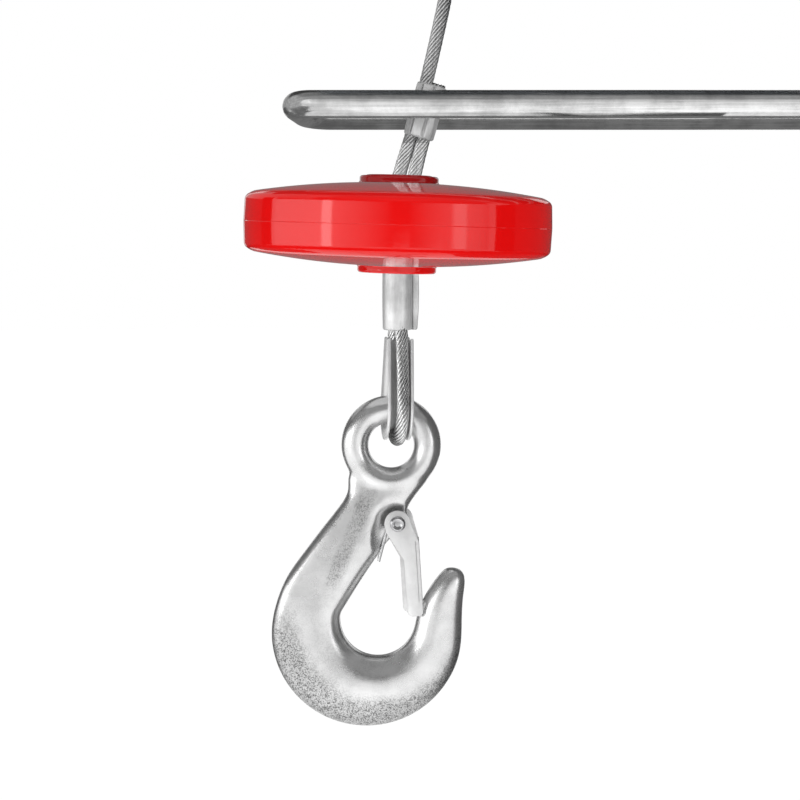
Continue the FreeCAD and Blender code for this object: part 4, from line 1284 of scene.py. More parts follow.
@dataclass
class WireRope:
    """Hoist rope of outer strands round a core, from its anchor to the eye and back to its cut end."""

    diameter: float = 0.004
    strands: int = 11
    strand_r: float = 0.00042
    strand_sides: int = 2
    pitch_r: float = 0.00158
    core_r: float = 0.0013
    lay: float = 0.0185
    spacing: float = 0.0005
    line_steps: int = 48
    sharp: float = 60.0
    route: tuple[Spot, ...] = (
        (0.00000, 0.00000, 0.01400),
        (0.00000, 0.00000, -0.00800),
        (-0.00895, 0.00020, -0.04870),
        (-0.01335, 0.00050, -0.06340),
        (-0.01735, 0.00080, -0.07600),
        (-0.01880, 0.00125, -0.08330),
        (-0.01859, 0.00183, -0.09060),
        (-0.01781, 0.00211, -0.09750),
        (-0.01790, 0.00205, -0.11700),
        (-0.01815, 0.00225, -0.12150),
        (-0.01870, 0.00560, -0.13280),
        (-0.01925, 0.00840, -0.14610),
        (-0.01740, 0.00000, -0.15340),
        (-0.01560, -0.00840, -0.14610),
        (-0.01560, -0.00560, -0.13280),
        (-0.01600, -0.00225, -0.12150),
        (-0.01660, -0.00205, -0.11700),
        (-0.01670, -0.00211, -0.09750),
        (-0.01570, -0.00183, -0.09060),
        (-0.01420, -0.00125, -0.08330),
        (-0.01265, -0.00080, -0.07600),
        (-0.00970, -0.00050, -0.06340),
        (-0.00520, -0.00020, -0.04825),
    )

    def middle(self) -> list[Vector]:
        """Points of the rope's smooth middle line, read from its spline.

        Returns:
            The points, from the anchor to the cut end.
        """
        curve = bpy.data.curves.new("rope_line", "CURVE")
        curve.dimensions = "3D"
        spline = curve.splines.new("NURBS")
        spline.points.add(len(self.route) - 1)
        for point, spot in zip(spline.points, self.route):
            point.co = (*spot, 1.0)
        spline.order_u = 3
        spline.use_endpoint_u = True
        spline.resolution_u = self.line_steps
        holder = linked("rope_line", curve)
        mesh = bpy.data.meshes.new_from_object(holder)
        points = [v.co.copy() for v in mesh.vertices]
        bpy.data.objects.remove(holder)
        kept = [points[0]]
        for point in points[1:-1]:
            if (point - kept[-1]).length > self.spacing:
                kept.append(point)
        return kept + [points[-1]]

    @staticmethod
    def bearings(line: Sequence[Vector]) -> list[Bearing]:
        """Cross directions that follow the line without twisting.

        Args:
            line: the points of the middle line.

        Returns:
            One bearing for each point.
        """
        found = []
        side = Vector((1, 0, 0))
        travelled = 0.0
        for k, here in enumerate(line):
            ahead = (line[min(k + 1, len(line) - 1)] - line[max(k - 1, 0)]).normalized()
            side = (side - ahead * side.dot(ahead)).normalized()
            if k:
                travelled += (here - line[k - 1]).length
            found.append(Bearing(here, side.copy(), ahead.cross(side), travelled))
        return found

    def tube(self, points: Sequence[Vector], r: float) -> bpy.types.Mesh:
        """Round tube along points.

        Args:
            points: its middle line.
            r: its radius.

        Returns:
            The mesh.
        """
        curve = bpy.data.curves.new("strand", "CURVE")
        curve.dimensions = "3D"
        curve.bevel_depth = r
        curve.bevel_resolution = self.strand_sides
        curve.use_fill_caps = True
        spline = curve.splines.new("POLY")
        spline.points.add(len(points) - 1)
        for point, spot in zip(spline.points, points):
            point.co = (*spot, 1.0)
        holder = linked("strand", curve)
        mesh = bpy.data.meshes.new_from_object(holder)
        bpy.data.objects.remove(holder)
        return mesh

    def add_tube(self, bm: bmesh.types.BMesh, points: Sequence[Vector], r: float,
                 bearings: Sequence[Bearing]) -> None:
        """Adds a tube whose vertices keep their height over the rope's middle, as a share of its radius.

        Args:
            bm: the rope's mesh.
            points: the tube's middle line.
            r: the tube's radius.
            bearings: the rope's own middle line.
        """
        count = len(bm.verts)
        bm.from_mesh(self.tube(points, r))
        bm.verts.ensure_lookup_table()
        height = bm.verts.layers.float[HEIGHT]
        ring = (len(bm.verts) - count) // len(points)
        for k, vert in enumerate(bm.verts[count:]):
            here = bearings[min(k // ring, len(bearings) - 1)].here
            vert[height] = (vert.co - here).length / (self.pitch_r + self.strand_r)

    def build(self, palette: Palette) -> bpy.types.Object:
        """Args:
            palette: the finishes.

        Returns:
            The rope.
        """
        line = self.middle()
        bearings = self.bearings(line)
        bm = bmesh.new()
        bm.verts.layers.float.new(HEIGHT)
        self.add_tube(bm, line, self.core_r, bearings)
        for face in bm.faces:
            face.material_index = 1
        for k in range(self.strands):
            start = math.tau * k / self.strands
            points = []
            for at in bearings:
                turn = start + math.tau * at.travelled / self.lay
                out = at.side * math.cos(turn) + at.up * math.sin(turn)
                points.append(at.here + out * self.pitch_r)
            self.add_tube(bm, points, self.strand_r, bearings)
        rope = meshed("rope_strands", bm)
        dressed(rope.data, (palette.rope, palette.core), self.sharp)
        settle_piece(rope, Body.FRAME, ["wire_rope"])
        return rope


@dataclass
class Ferrule:
    """Pressed aluminium ferrule: a slightly barrelled body with the flash of its die along one side."""

    name: str
    node: str
    low: Vector
    top: Vector
    flash: Vector
    r: float = 4.4
    barrel: float = 0.14
    levels: tuple[float, ...] = (0.0, 0.25, 0.5, 0.75, 1.0)
    low_round: float = 0.7
    top_round: float = 0.6
    end_segments: int = 4
    facets: int = 64
    facet_round: float = 0.0
    turn: float = 0.0
    flash_root: float = 1.0
    flash_reach: float = 6.5
    flash_thick: float = 1.5
    flash_back: float = 0.0
    flash_bulge: float = 0.0
    flash_round: float = 0.45
    grooves: tuple[float, ...] = ()
    groove_wide: float = 0.55
    groove_deep: float = 0.9
    groove_out: float = 2.0
    valley: tuple[float, ...] = ()
    valley_out: float = 0.3
    overrun: float = 1.0
    sharp: float = 40.0

    def build(self, palette: Palette) -> bpy.types.Object:
        """Makes the ferrule along its axis.

        Args:
            palette: the finishes.

        Returns:
            The ferrule.
        """
        axis = self.top - self.low
        length = axis.length
        shape = Shape()
        wall = [Corner(self.r + self.barrel * (hump(t) - 1.0), length * t) for t in self.levels]
        wall[0] = Corner(wall[0].r, 0.0, self.low_round, self.end_segments)
        wall[-1] = Corner(wall[-1].r, length, self.top_round, self.end_segments)
        shape.turned([Corner(0.0, 0.0), *wall, Corner(0.0, length)], self.facets,
                     Matrix.Rotation(math.radians(self.turn), 4, "Z"), closed=False)
        shape.tidy()
        if self.facet_round:
            shape.round_edges(self.facet_round)
        body = shape.object(self.name, palette.ferrule)
        carved(body, self.fin(length, palette), Carve.JOIN)
        for angle in self.grooves:
            near, far = self.r - self.groove_deep, self.r + self.groove_out
            cut = self.cutter(near, far, self.groove_wide / 2, length)
            bmesh.ops.rotate(cut.bm, cent=(0, 0, 0), matrix=Matrix.Rotation(math.radians(angle), 3, "Z"),
                             verts=cut.bm.verts)
            carved(body, cut.object("groove", palette.ferrule), Carve.CUT)
        if self.valley:
            cut = self.cutter(*self.valley, self.flash_back + self.valley_out, length)
            carved(body, cut.object("valley", palette.ferrule), Carve.CUT)
        placed(body, Matrix.Translation(self.low) @ upright(axis, self.flash), palette.ferrule, self.sharp)
        return settle_piece(body, Body.FRAME, [self.node])

    def fin(self, length: float, palette: Palette) -> bpy.types.Object:
        """Flash of the die, fullest at the middle of its height.

        Args:
            length: the ferrule's length.
            palette: the finishes.

        Returns:
            The flash, which stands out along X.
        """
        fin = Shape()
        front = self.flash_back - self.flash_thick / 2
        edge = [(self.flash_reach + self.flash_bulge * hump(t), length * t) for t in self.levels]
        outline = [(self.flash_root, 0.0), *edge, (self.flash_root, length)]
        fin.plate([Vector((x, front, z)) for x, z in outline], Vector((0, self.flash_thick, 0)))
        fin.tidy()
        fin.round_edges(self.flash_round, 3)
        return fin.object("flash", palette.ferrule)

    def cutter(self, near: float, far: float, half: float, length: float) -> Shape:
        """Cutter for a line along the ferrule, past both its ends.

        Args:
            near: where it starts, from the axis.
            far: where it ends.
            half: half its width.
            length: the ferrule's length.

        Returns:
            The cutter, which lies along X.
        """
        cut = Shape()
        low, high = -self.overrun, length + self.overrun
        outline = ((near, low), (far, low), (far, high), (near, high))
        cut.plate([Vector((x, -half, z)) for x, z in outline], Vector((0, 2 * half, 0)))
        cut.tidy()
        return cut


@dataclass
class Thimble:
    """Grooved liner of the rope's eye, bent from sheet round the hook's ring."""

    middle: Vector = field(default_factory=lambda: Vector((-17.4, 0.0, -142.818)))
    yaw: float = 98.0
    swing: float = 1.6
    rope_line_r: float = 7.55
    groove_r: float = 2.9
    groove_steps: int = 12
    floor: float = 0.6
    sheet: float = 0.9
    flange: float = 0.9
    top: float = -121.9
    ferrule_low: float = -119.4
    twin_r: float = 2.15
    bend_steps: int = 40
    rounding: float = 0.42
    round_segments: int = 4
    round_sharp: float = 40.0

    @property
    def lean(self) -> float:
        """How far the legs lean from the vertical, in radians."""
        high = self.ferrule_low - self.middle.z
        return math.atan2(high, self.twin_r) - math.acos(self.rope_line_r / math.hypot(high, self.twin_r))

    def section(self) -> list[Vector]:
        """Closed outline of the sheet in the plane of the bend: X is outwards, Y across.

        Returns:
            The outline's corners.
        """
        points = []
        angles = [math.pi * k / self.groove_steps for k in range(self.groove_steps + 1)]
        for r, way in ((self.groove_r, -1), (self.groove_r + self.sheet, 1)):
            bow = [Vector((-r * math.sin(a), way * r * math.cos(a), 0.0)) for a in angles]
            start, end = (Vector((self.flange, tip.y, 0.0)) for tip in (bow[0], bow[-1]))
            points += [start, *bow, end]
        reach = Vector((self.rope_line_r + self.floor, 0.0, 0.0))
        return [p + reach for p in points]

    def build(self, palette: Palette) -> bpy.types.Object:
        """Spins the section round the bend and draws out its two legs.

        Args:
            palette: the finishes.

        Returns:
            The thimble.
        """
        shape = Shape()
        ring = shape.chain(self.section(), True)
        bmesh.ops.rotate(shape.bm, cent=(0, 0, 0), matrix=Matrix.Rotation(-self.lean, 3, "Y"),
                         verts=ends(ring))
        last = shape.bent(ring, Vector(), Vector((0, 1, 0)), math.pi + 2 * self.lean, self.bend_steps)
        rise = (self.top - self.middle.z) - self.rope_line_r * math.sin(self.lean)
        for edges in (ring, last):
            self.leg(shape, edges, rise)
        shape.tidy()
        shape.round_edges(self.rounding, self.round_segments, self.round_sharp)
        swing = Matrix.Rotation(math.radians(self.swing), 4, "Y")
        yaw = Matrix.Rotation(math.radians(self.yaw), 4, "Z")
        bmesh.ops.transform(shape.bm, matrix=Matrix.Translation(self.middle) @ swing @ yaw,
                            verts=shape.bm.verts)
        piece = shape.object("thimble_liner", palette.thimble)
        return settle_piece(piece, Body.FRAME, ["thimble"])

    def leg(self, shape: Shape, edges: Edges, rise: float) -> None:
        """Draws one end of the bend out towards the ferrule and closes it.

        Args:
            shape: the thimble.
            edges: the end of the bend.
            rise: how far up it goes.
        """
        centre = sum((v.co for e in edges for v in e.verts), Vector()) / (2 * len(edges))
        inwards = -math.copysign(math.tan(self.lean), centre.x)
        end = shape.drawn(edges, Vector((inwards * rise, 0.0, rise)))
        bmesh.ops.contextual_create(shape.bm, geom=end)


@dataclass(frozen=True)
class Station:
    """Section of the hook: inner and outer edge in the XZ plane, half its thickness, and both bevels."""

    inner: tuple[float, float]
    outer: tuple[float, float]
    half: float
    bevel: float
    edge: float


@dataclass
class ForgedHook:
    """Drop-forged hook: eye ring, shank, bowl and tip in one skin."""

    eye: Vector = field(default_factory=lambda: Vector((-19.1, 0.0, -153.25)))
    ring_r: float = 10.7
    ring_section_r: float = 4.0
    ring_half: float = 4.5
    ring_steps: tuple[int, int] = (32, 96)
    bowl: Vector = field(default_factory=lambda: Vector((-23.1, 0.0, -205.1)))
    bowl_r: float = 11.3
    back: Vector = field(default_factory=lambda: Vector((-26.4, 0.0, -209.1)))
    back_r: float = 28.75
    rivet: Vector = field(default_factory=lambda: Vector((-17.2, 0.0, -176.2)))
    recess_r: float = 3.9
    recess_flare: float = 15.0
    recess_deep: float = 12.0
    recess_sides: int = 64
    heel: Vector = field(default_factory=lambda: Vector((-19.8, 0.0, -182.2)))
    heel_r: float = 2.2
    waist_r: float = 3.5
    lug_half: float = 1.8
    lug_r: float = 3.6
    lug_sides: int = 40
    lug_outline: tuple[tuple[float, float], ...] = (
        (2.6, 2.6), (4.2, 11.7), (-7.8, 8.2), (-12.8, -9.8), (-6.4, -9.6), (-1.0, -3.6))
    bevel_shares: Stops = ((0.0, 0.0), (0.0, 0.22), (0.10, 0.42), (0.55, 0.68), (1.0, 0.86))
    face_shares: Stops = ((0.12, 0.95), (0.30, 1.0), (0.55, 0.975), (0.80, 0.905), (1.0, 0.80))
    edge_shares: Stops = ((0.35, 0.58), (0.05, 0.28), (0.0, 0.0))
    rounding_levels: int = 2
    voxel: float = 0.0004
    smoothing: int = 8
    smooth_factor: float = 0.5
    neck_top: float = -0.1565
    neck_low: float = -0.1675
    neck_smoothing: int = 18
    recess_reach: float = 0.0105
    recess_smoothing: int = 14

    def stations(self) -> list[Station]:
        """Sections from the neck round the bowl to the tip.

        Returns:
            The sections in order.
        """
        upper = [
            Station((-6.4, -160.8), (-33.0, -160.0), 3.3, 2.0, 2.0),
            Station((-9.0, -164.7), (-31.6, -164.6), 4.2, 2.0, 2.0),
            Station((-12.9, -169.0), (-32.0, -168.2), 4.4, 2.0, 1.8),
            Station((-17.6, -177.8), (-34.7, -171.9), 4.7, 2.0, 1.6),
            Station((-20.6, -182.6), (-37.5, -175.5), 4.9, 2.4, 1.6),
            Station((-25.6, -189.7), (-40.4, -179.1), 5.2, 2.8, 1.6),
            Station((-30.4, -197.3), (-45.7, -186.3), 5.4, 2.9, 1.6),
            Station((-33.4, -202.4), (-51.0, -193.2), 5.6, 2.9, 1.6),
        ]
        around = [self.bowl_station(*row) for row in (
            (172, 5.8, 2.9, 1.6), (190, 6.0, 3.0, 1.7), (208, 6.1, 3.4, 2.0), (226, 6.2, 3.9, 2.4),
            (244, 6.2, 4.3, 2.8), (262, 6.2, 4.5, 3.2), (280, 6.1, 4.5, 3.4), (298, 5.9, 4.2, 3.4),
            (316, 5.6, 3.8, 3.2), (334, 5.3, 3.4, 3.0), (350, 5.1, 3.1, 2.6))]
        tip = [
            Station((-11.2, -202.2), (1.9, -205.2), 4.8, 2.9, 2.3),
            Station((-8.7, -197.3), (2.1, -199.2), 4.4, 2.5, 2.0),
            Station((-6.2, -193.5), (2.9, -194.5), 3.9, 2.0, 1.8),
            Station((-4.3, -191.2), (2.7, -191.9), 3.2, 1.5, 1.5),
            Station((-2.7, -189.6), (1.3, -189.9), 2.0, 1.0, 1.0),
        ]
        return upper + around + tip

    def bowl_station(self, angle: float, half: float, bevel: float, edge: float) -> Station:
        """Section across the bowl in one direction.

        Args:
            angle: the direction, in degrees.
            half: half the thickness.
            bevel: the inner bevel.
            edge: the outer round.

        Returns:
            The section.
        """
        ray = Vector((math.cos(math.radians(angle)), 0.0, math.sin(math.radians(angle))))
        inner = self.bowl + ray * self.bowl_r
        outer = self.back + ray * self.back_r
        return Station((inner.x, inner.z), (outer.x, outer.z), half, bevel, edge)

    def section(self, shape: Shape, station: Station) -> Edges:
        """Ring of one section: a steep inner bevel, a convex face and a tight outer round.

        Args:
            shape: the stem.
            station: the section.

        Returns:
            The ring's edges.
        """
        inner = Vector((station.inner[0], 0.0, station.inner[1]))
        outer = Vector((station.outer[0], 0.0, station.outer[1]))
        width = (outer - inner).length
        across = (outer - inner) / width
        face = width - station.edge - station.bevel
        half = [(station.bevel * x, d) for x, d in self.bevel_shares]
        half += [(station.bevel + face * x, d) for x, d in self.face_shares]
        half += [(width - station.edge * x, d) for x, d in self.edge_shares]
        outline = half + [(x, -d) for x, d in reversed(half[1:-1])]
        edges = shape.ring(Matrix(), 1.0, 1.0, len(outline))
        verts = sorted(ends(edges), key=lambda v: math.atan2(v.co.y, v.co.x) % math.tau)
        for vert, (x, d) in zip(verts, outline):
            vert.co = inner + across * x + Vector((0.0, d * station.half, 0.0))
        return edges

    def stem(self, palette: Palette) -> bpy.types.Object:
        """Shank, bowl and tip, with the recesses of the latch.

        Args:
            palette: the finishes.

        Returns:
            The stem.
        """
        shape = Shape()
        shape.loft([self.section(shape, s) for s in self.stations()])
        shape.tidy()
        body = shape.object("hook_forging", palette.hook)
        round_up = body.modifiers.new("round", "SUBSURF")
        round_up.levels = round_up.render_levels = self.rounding_levels
        settled(body)
        waist = self.rivet.lerp(self.heel, 0.5)
        for side in (-1, 1):
            for middle, r in ((self.rivet, self.recess_r), (self.heel, self.heel_r), (waist, self.waist_r)):
                carved(body, self.recess(side, middle, r, palette), Carve.CUT)
        return body

    def recess(self, side: int, middle: Vector, r: float, palette: Palette) -> bpy.types.Object:
        """Flared cutter that frees one cheek of the latch or one leg of its spring.

        Args:
            side: -1 for the front and 1 for the back.
            middle: the middle of the recess.
            r: the radius of its floor.
            palette: the finishes.

        Returns:
            The cutter.
        """
        tool = Shape()
        out = Vector((0, side, 0))
        place = Matrix.Translation(middle + out * self.lug_half) @ upright(out, Vector((1, 0, 0)))
        deep = self.recess_deep
        tool.turned([Corner(0, 0), Corner(r, 0), Corner(r + self.recess_flare, deep), Corner(0, deep)],
                    self.recess_sides, place, closed=False)
        tool.tidy()
        return tool.object("recess", palette.hook)

    def ring_and_lug(self, shape: Shape) -> None:
        """Adds the eye ring and the thin lug that carries the rivet.

        Args:
            shape: the hook.
        """
        place = Matrix.Translation(self.eye + Vector((0, 0, self.ring_r)))
        place = place @ upright(Vector((1, 0, 0)), Vector((0, 0, 1)))
        ring = shape.ring(place, self.ring_section_r, self.ring_half, self.ring_steps[0])
        bmesh.ops.spin(shape.bm, geom=ends(ring) + ring, cent=self.eye, axis=(0, 1, 0), angle=math.tau,
                       steps=self.ring_steps[1], use_merge=True)
        side = Vector((0, self.lug_half, 0))
        shape.plate([self.rivet + Vector((x, 0, z)) - side for x, z in self.lug_outline], side * 2)
        place = Matrix.Translation(self.rivet - side) @ upright(Vector((0, 1, 0)), Vector((1, 0, 0)))
        thick = 2 * self.lug_half
        shape.turned([Corner(0, 0), Corner(self.lug_r, 0), Corner(self.lug_r, thick), Corner(0, thick)],
                     self.lug_sides, place, closed=False)

    def smooth(self, mesh: bpy.types.Mesh) -> None:
        """Smooths the skin, most of all at the neck and round the rivet.

        Args:
            mesh: the hook's mesh, in metres.
        """
        bm = bmesh.new()
        bm.from_mesh(mesh)
        neck = [v for v in bm.verts if self.neck_low < v.co.z < self.neck_top]
        scoop = [v for v in bm.verts if (v.co.xz - self.rivet.xz * MM).length < self.recess_reach]
        zones = ((neck, self.neck_smoothing), (scoop, self.recess_smoothing), (bm.verts, self.smoothing))
        for verts, times in zones:
            for _ in range(times):
                bmesh.ops.smooth_vert(bm, verts=verts, factor=self.smooth_factor, use_axis_x=True,
                                      use_axis_y=True, use_axis_z=True)
        bm.to_mesh(mesh)
        bm.free()

    def build(self, palette: Palette) -> bpy.types.Object:
        """Joins the stem, the ring and the lug in one smooth skin.

        Args:
            palette: the finishes.

        Returns:
            The hook.
        """
        whole = Shape()
        whole.add_object(self.stem(palette))
        self.ring_and_lug(whole)
        whole.tidy()
        piece = whole.object("hook_forging", palette.hook)
        skin = piece.modifiers.new("skin", "REMESH")
        skin.mode = "VOXEL"
        skin.voxel_size = self.voxel
        settled(piece)
        self.smooth(piece.data)
        piece.data.materials.clear()
        piece.data.materials.append(palette.hook)
        piece.data.shade_smooth()
        return settle_piece(piece, Body.HOOK, ["hook_body"])


@dataclass
class SafetyLatch:
    """Folded sheet latch on its rivet, with the spring that closes it."""

    rivet: Vector = field(default_factory=lambda: Vector((-17.2, 0.0, -176.2)))
    lean: float = 3.6
    sheet: float = 1.0
    inner_half: float = 3.2
    head_r: float = 3.9
    head_steps: int = 18
    head_wider: float = 0.6
    length: float = 27.8
    shoulder: float = 5.4
    outer: float = 5.85
    inner: float = 1.2
    rear_wider: float = 1.2
    neck: float = 2.4
    neck_share: float = 0.9
    bend: float = 11.0
    toe: float = 1.4
    toe_in: float = 0.5
    toe_up: float = 0.4
    toe_outer: float = 0.8
    edge_round: float = 0.16
    web_top: float = 5.4
    web_low: float = 23.6
    fold_out: float = 0.12
    fold_segments: int = 5
    rivet_shank_r: float = 1.8
    rivet_head_r: float = 2.3
    rivet_lift: float = 0.05
    rivet_sides: int = 48
    rivet_head: tuple[Spot, ...] = (
        (0.0, 0.42, 0.0), (0.34, 0.36, 0.0), (0.52, 0.62, 0.15), (0.74, 0.85, 0.2), (1.0, 0.32, 0.2),
        (1.0, 0.0, 0.0))

    def spot(self, across: float, down: float, y: float) -> Vector:
        """Place on the latch.

        Args:
            across: how far outwards from the rivet.
            down: how far down from the rivet.
            y: how far back from the middle.

        Returns:
            The place.
        """
        lean = math.radians(self.lean)
        out = Vector((math.cos(lean), 0.0, math.sin(lean)))
        along = Vector((math.sin(lean), 0.0, -math.cos(lean)))
        return self.rivet + out * across + along * down + Vector((0.0, y, 0.0))

    def cheek(self, shape: Shape, y: float, wider: float) -> None:
        """One cheek: a round head and an arm that narrows to the inner edge.

        Args:
            shape: the latch.
            y: where the cheek's front is.
            wider: how much wider it is than the front cheek.
        """
        r = self.head_r + self.head_wider * wider
        angles = [math.pi * k / self.head_steps for k in range(1, self.head_steps)]
        head = [self.spot(r * math.cos(a), -r * math.sin(a), y) for a in angles]
        left, end = self.inner - wider, self.length
        arm = [(-r, 0.0), (-r * self.neck_share, self.neck), (left, self.bend), (left, end - self.toe),
               (left + self.toe_in, end - self.toe_up), (left + self.toe, end),
               (self.outer - self.toe_outer, end), (self.outer, end - self.toe_outer),
               (self.outer, self.shoulder), (r, 0.0)]
        shape.plate([*head, *(self.spot(a, d, y) for a, d in arm)], Vector((0, self.sheet, 0)))

    def fold(self) -> Shape:
        """Web that joins the two cheeks, with its long outer edges rounded.

        Returns:
            The web.
        """
        fold = Shape()
        reach = self.inner_half + self.sheet
        edge, root = self.outer + self.fold_out, self.outer - self.sheet
        outline = ((edge, self.web_top), (edge, self.web_low), (root, self.web_low), (root, self.web_top))
        fold.plate([self.spot(a, d, -reach) for a, d in outline], Vector((0, 2 * reach, 0)))
        fold.tidy()
        out = self.spot(1.0, 0.0, 0.0) - self.rivet
        long = [e for e in fold.bm.edges
                if abs(e.verts[0].co.y - e.verts[1].co.y) < Shape.DOUBLE_GAP
                and abs(e.calc_length() - (self.web_low - self.web_top)) < Shape.RING_GAP
                and (e.verts[0].co - self.rivet).dot(out) > self.outer]
        fold.bevel(long, self.sheet, self.fold_segments)
        return fold

    def build(self, palette: Palette) -> None:
        """Makes the latch and its rivet and dresses the spring.

        Args:
            palette: the finishes.
        """
        shape = Shape()
        self.cheek(shape, -self.inner_half - self.sheet, 0.0)
        self.cheek(shape, self.inner_half, self.rear_wider)
        shape.tidy()
        shape.round_edges(self.edge_round)
        shape.add_object(self.fold().object("fold", palette.sheet))
        settle_piece(shape.object("latch_sheet", palette.sheet), Body.LATCH, ["latch"])
        settle_piece(self.rivet_piece(palette), Body.HOOK, ["latch_rivet"])
        paint_node("latch_spring", palette.spring)

    def rivet_piece(self, palette: Palette) -> bpy.types.Object:
        """Rivet with a rolled ring and a dimple on each head.

        Args:
            palette: the finishes.

        Returns:
            The rivet.
        """
        shape = Shape()
        end = self.inner_half + self.sheet + self.rivet_lift
        shank = self.rivet_shank_r
        half = [Corner(self.rivet_head_r * r, end + h, rounding) for r, h, rounding in self.rivet_head]
        other = [Corner(c.r, -c.h, c.rounding) for c in reversed(half)]
        place = Matrix.Translation(self.rivet) @ upright(Vector((0, -1, 0)), Vector((1, 0, 0)))
        shape.turned([*half, Corner(shank, end), Corner(shank, -end), *other], self.rivet_sides, place,
                     closed=False)
        shape.tidy()
        return shape.object("latch_rivet_head", palette.steel)


@dataclass
class StopDisc:
    """Two red mouldings on a core tube, with a ballast ring and three screws inside."""

    middle: Vector = field(default_factory=lambda: Vector((-17.1, 0.0, -88.6)))
    tilt: float = 1.6
    r: float = 45.0
    draft: float = 0.3
    rim_half: float = 7.3
    rim_round: float = 1.0
    wall_share: float = 0.82
    shoulder_r: float = 42.3
    shoulder_half: float = 8.75
    shoulder_round: float = 0.9
    dome_rise: float = 0.5
    dome_steps: int = 10
    hub_half: float = 12.0
    hub_round: float = 0.5
    collar_r: float = 11.5
    collar_half: float = 14.1
    collar_round: float = 0.8
    bore_r: float = 9.56
    bore_round: float = 0.25
    pocket_r: float = 12.06
    pocket_half: float = 1.56
    wall_r: float = 14.0
    cavity_roof: float = 9.3
    step_r: float = 26.5
    step_roof: float = 8.2
    ballast_half: float = 5.0
    cavity_r: float = 42.3
    seam: float = 0.09
    screws: int = 3
    screw_pcd_r: float = 20.0
    screw_sink_r: float = 3.1
    screw_floor: float = -6.6
    screw_out: float = -20.0
    screw_sides: int = 32
    tube_round: float = 0.25
    steps: int = 144
    sharp: float = 28.0

    def dome(self) -> list[Corner]:
        """Shallow arc from the shoulder to the collar.

        Returns:
            The corners of the arc.
        """
        a = Vector((self.shoulder_r, self.shoulder_half))
        b = Vector((self.collar_r, self.hub_half))
        out = Vector((b.y - a.y, a.x - b.x)).normalized() * self.dome_rise
        shares = [k / self.dome_steps for k in range(self.dome_steps + 1)]
        spots = [a.lerp(b, t) + out * hump(t) for t in shares]
        corners = [Corner(s.x, s.y) for s in spots]
        corners[0] = Corner(spots[0].x, spots[0].y, self.shoulder_round, 4)
        corners[-1] = Corner(spots[-1].x, spots[-1].y, self.hub_round, 3)
        return corners

    def profile(self) -> list[Corner]:
        """Section of one moulding, from its seam over the outside and back through its cavity.

        Returns:
            The corners in order.
        """
        rim = self.r - self.draft
        return [
            Corner(self.cavity_r, 0.0), Corner(self.r - self.seam, 0.0), Corner(self.r, self.seam),
            Corner(self.r - self.draft * self.wall_share, self.rim_half * self.wall_share),
            Corner(rim, self.rim_half, self.rim_round, 5), *self.dome(),
            Corner(self.collar_r, self.collar_half, self.collar_round, 5),
            Corner(self.bore_r, self.collar_half, self.bore_round, 2),
            Corner(self.bore_r, self.pocket_half), Corner(self.pocket_r, self.pocket_half),
            Corner(self.pocket_r, 0.0), Corner(self.wall_r, 0.0), Corner(self.wall_r, self.cavity_roof),
            Corner(self.step_r, self.step_roof), Corner(self.step_r, self.ballast_half),
            Corner(self.cavity_r, self.ballast_half)]

    def shell(self, name: str, flip: int, palette: Palette) -> bpy.types.Object:
        """One moulding.

        Args:
            name: the piece's name.
            flip: 1 for the upper and -1 for the lower half.
            palette: the finishes.

        Returns:
            The moulding.
        """
        shape = Shape()
        shape.turned(self.profile(), self.steps, Matrix.Diagonal((1.0, 1.0, float(flip), 1.0)))
        shape.tidy()
        piece = shape.object(name, palette.red, self.sharp)
        if flip < 0:
            carved(piece, self.screw_sinks(palette), Carve.CUT)
        tilt = Matrix.Rotation(math.radians(self.tilt), 4, "Y")
        placed(piece, Matrix.Translation(self.middle) @ tilt, palette.red, self.sharp)
        return piece

    def screw_sinks(self, palette: Palette) -> bpy.types.Object:
        """Cutters for the screw wells of the lower half.

        Args:
            palette: the finishes.

        Returns:
            The cutters, as one object.
        """
        tool = Shape()
        r, out, floor = self.screw_sink_r, self.screw_out, self.screw_floor
        for k in range(self.screws):
            turn = math.tau * (k + 0.5) / self.screws
            spot = Vector((math.cos(turn), math.sin(turn), 0.0)) * self.screw_pcd_r
            tool.turned([Corner(0, out), Corner(r, out), Corner(r, floor), Corner(0, floor)],
                        self.screw_sides, Matrix.Translation(spot), closed=False)
        tool.tidy()
        return tool.object("wells", palette.red)

    def build(self, palette: Palette) -> None:
        """Makes both halves and dresses what they hold.

        Args:
            palette: the finishes.
        """
        upper = self.shell("disc_half_upper", 1, palette)
        settle_piece(upper, Body.DISC, ["disc_upper_shell"])
        lower = self.shell("disc_half_lower", -1, palette)
        settle_piece(lower, Body.DISC, ["disc_lower_shell"])
        paint_node("disc_screws", palette.steel)
        paint_node("disc_ballast_ring", palette.iron)
        tube = softened("disc_core_tube", palette.red, self.tube_round)
        settle_piece(tube, Body.DISC_CORE)
        for piece in (upper, lower, tube):
            piece.visible_glossy = piece.visible_diffuse = False


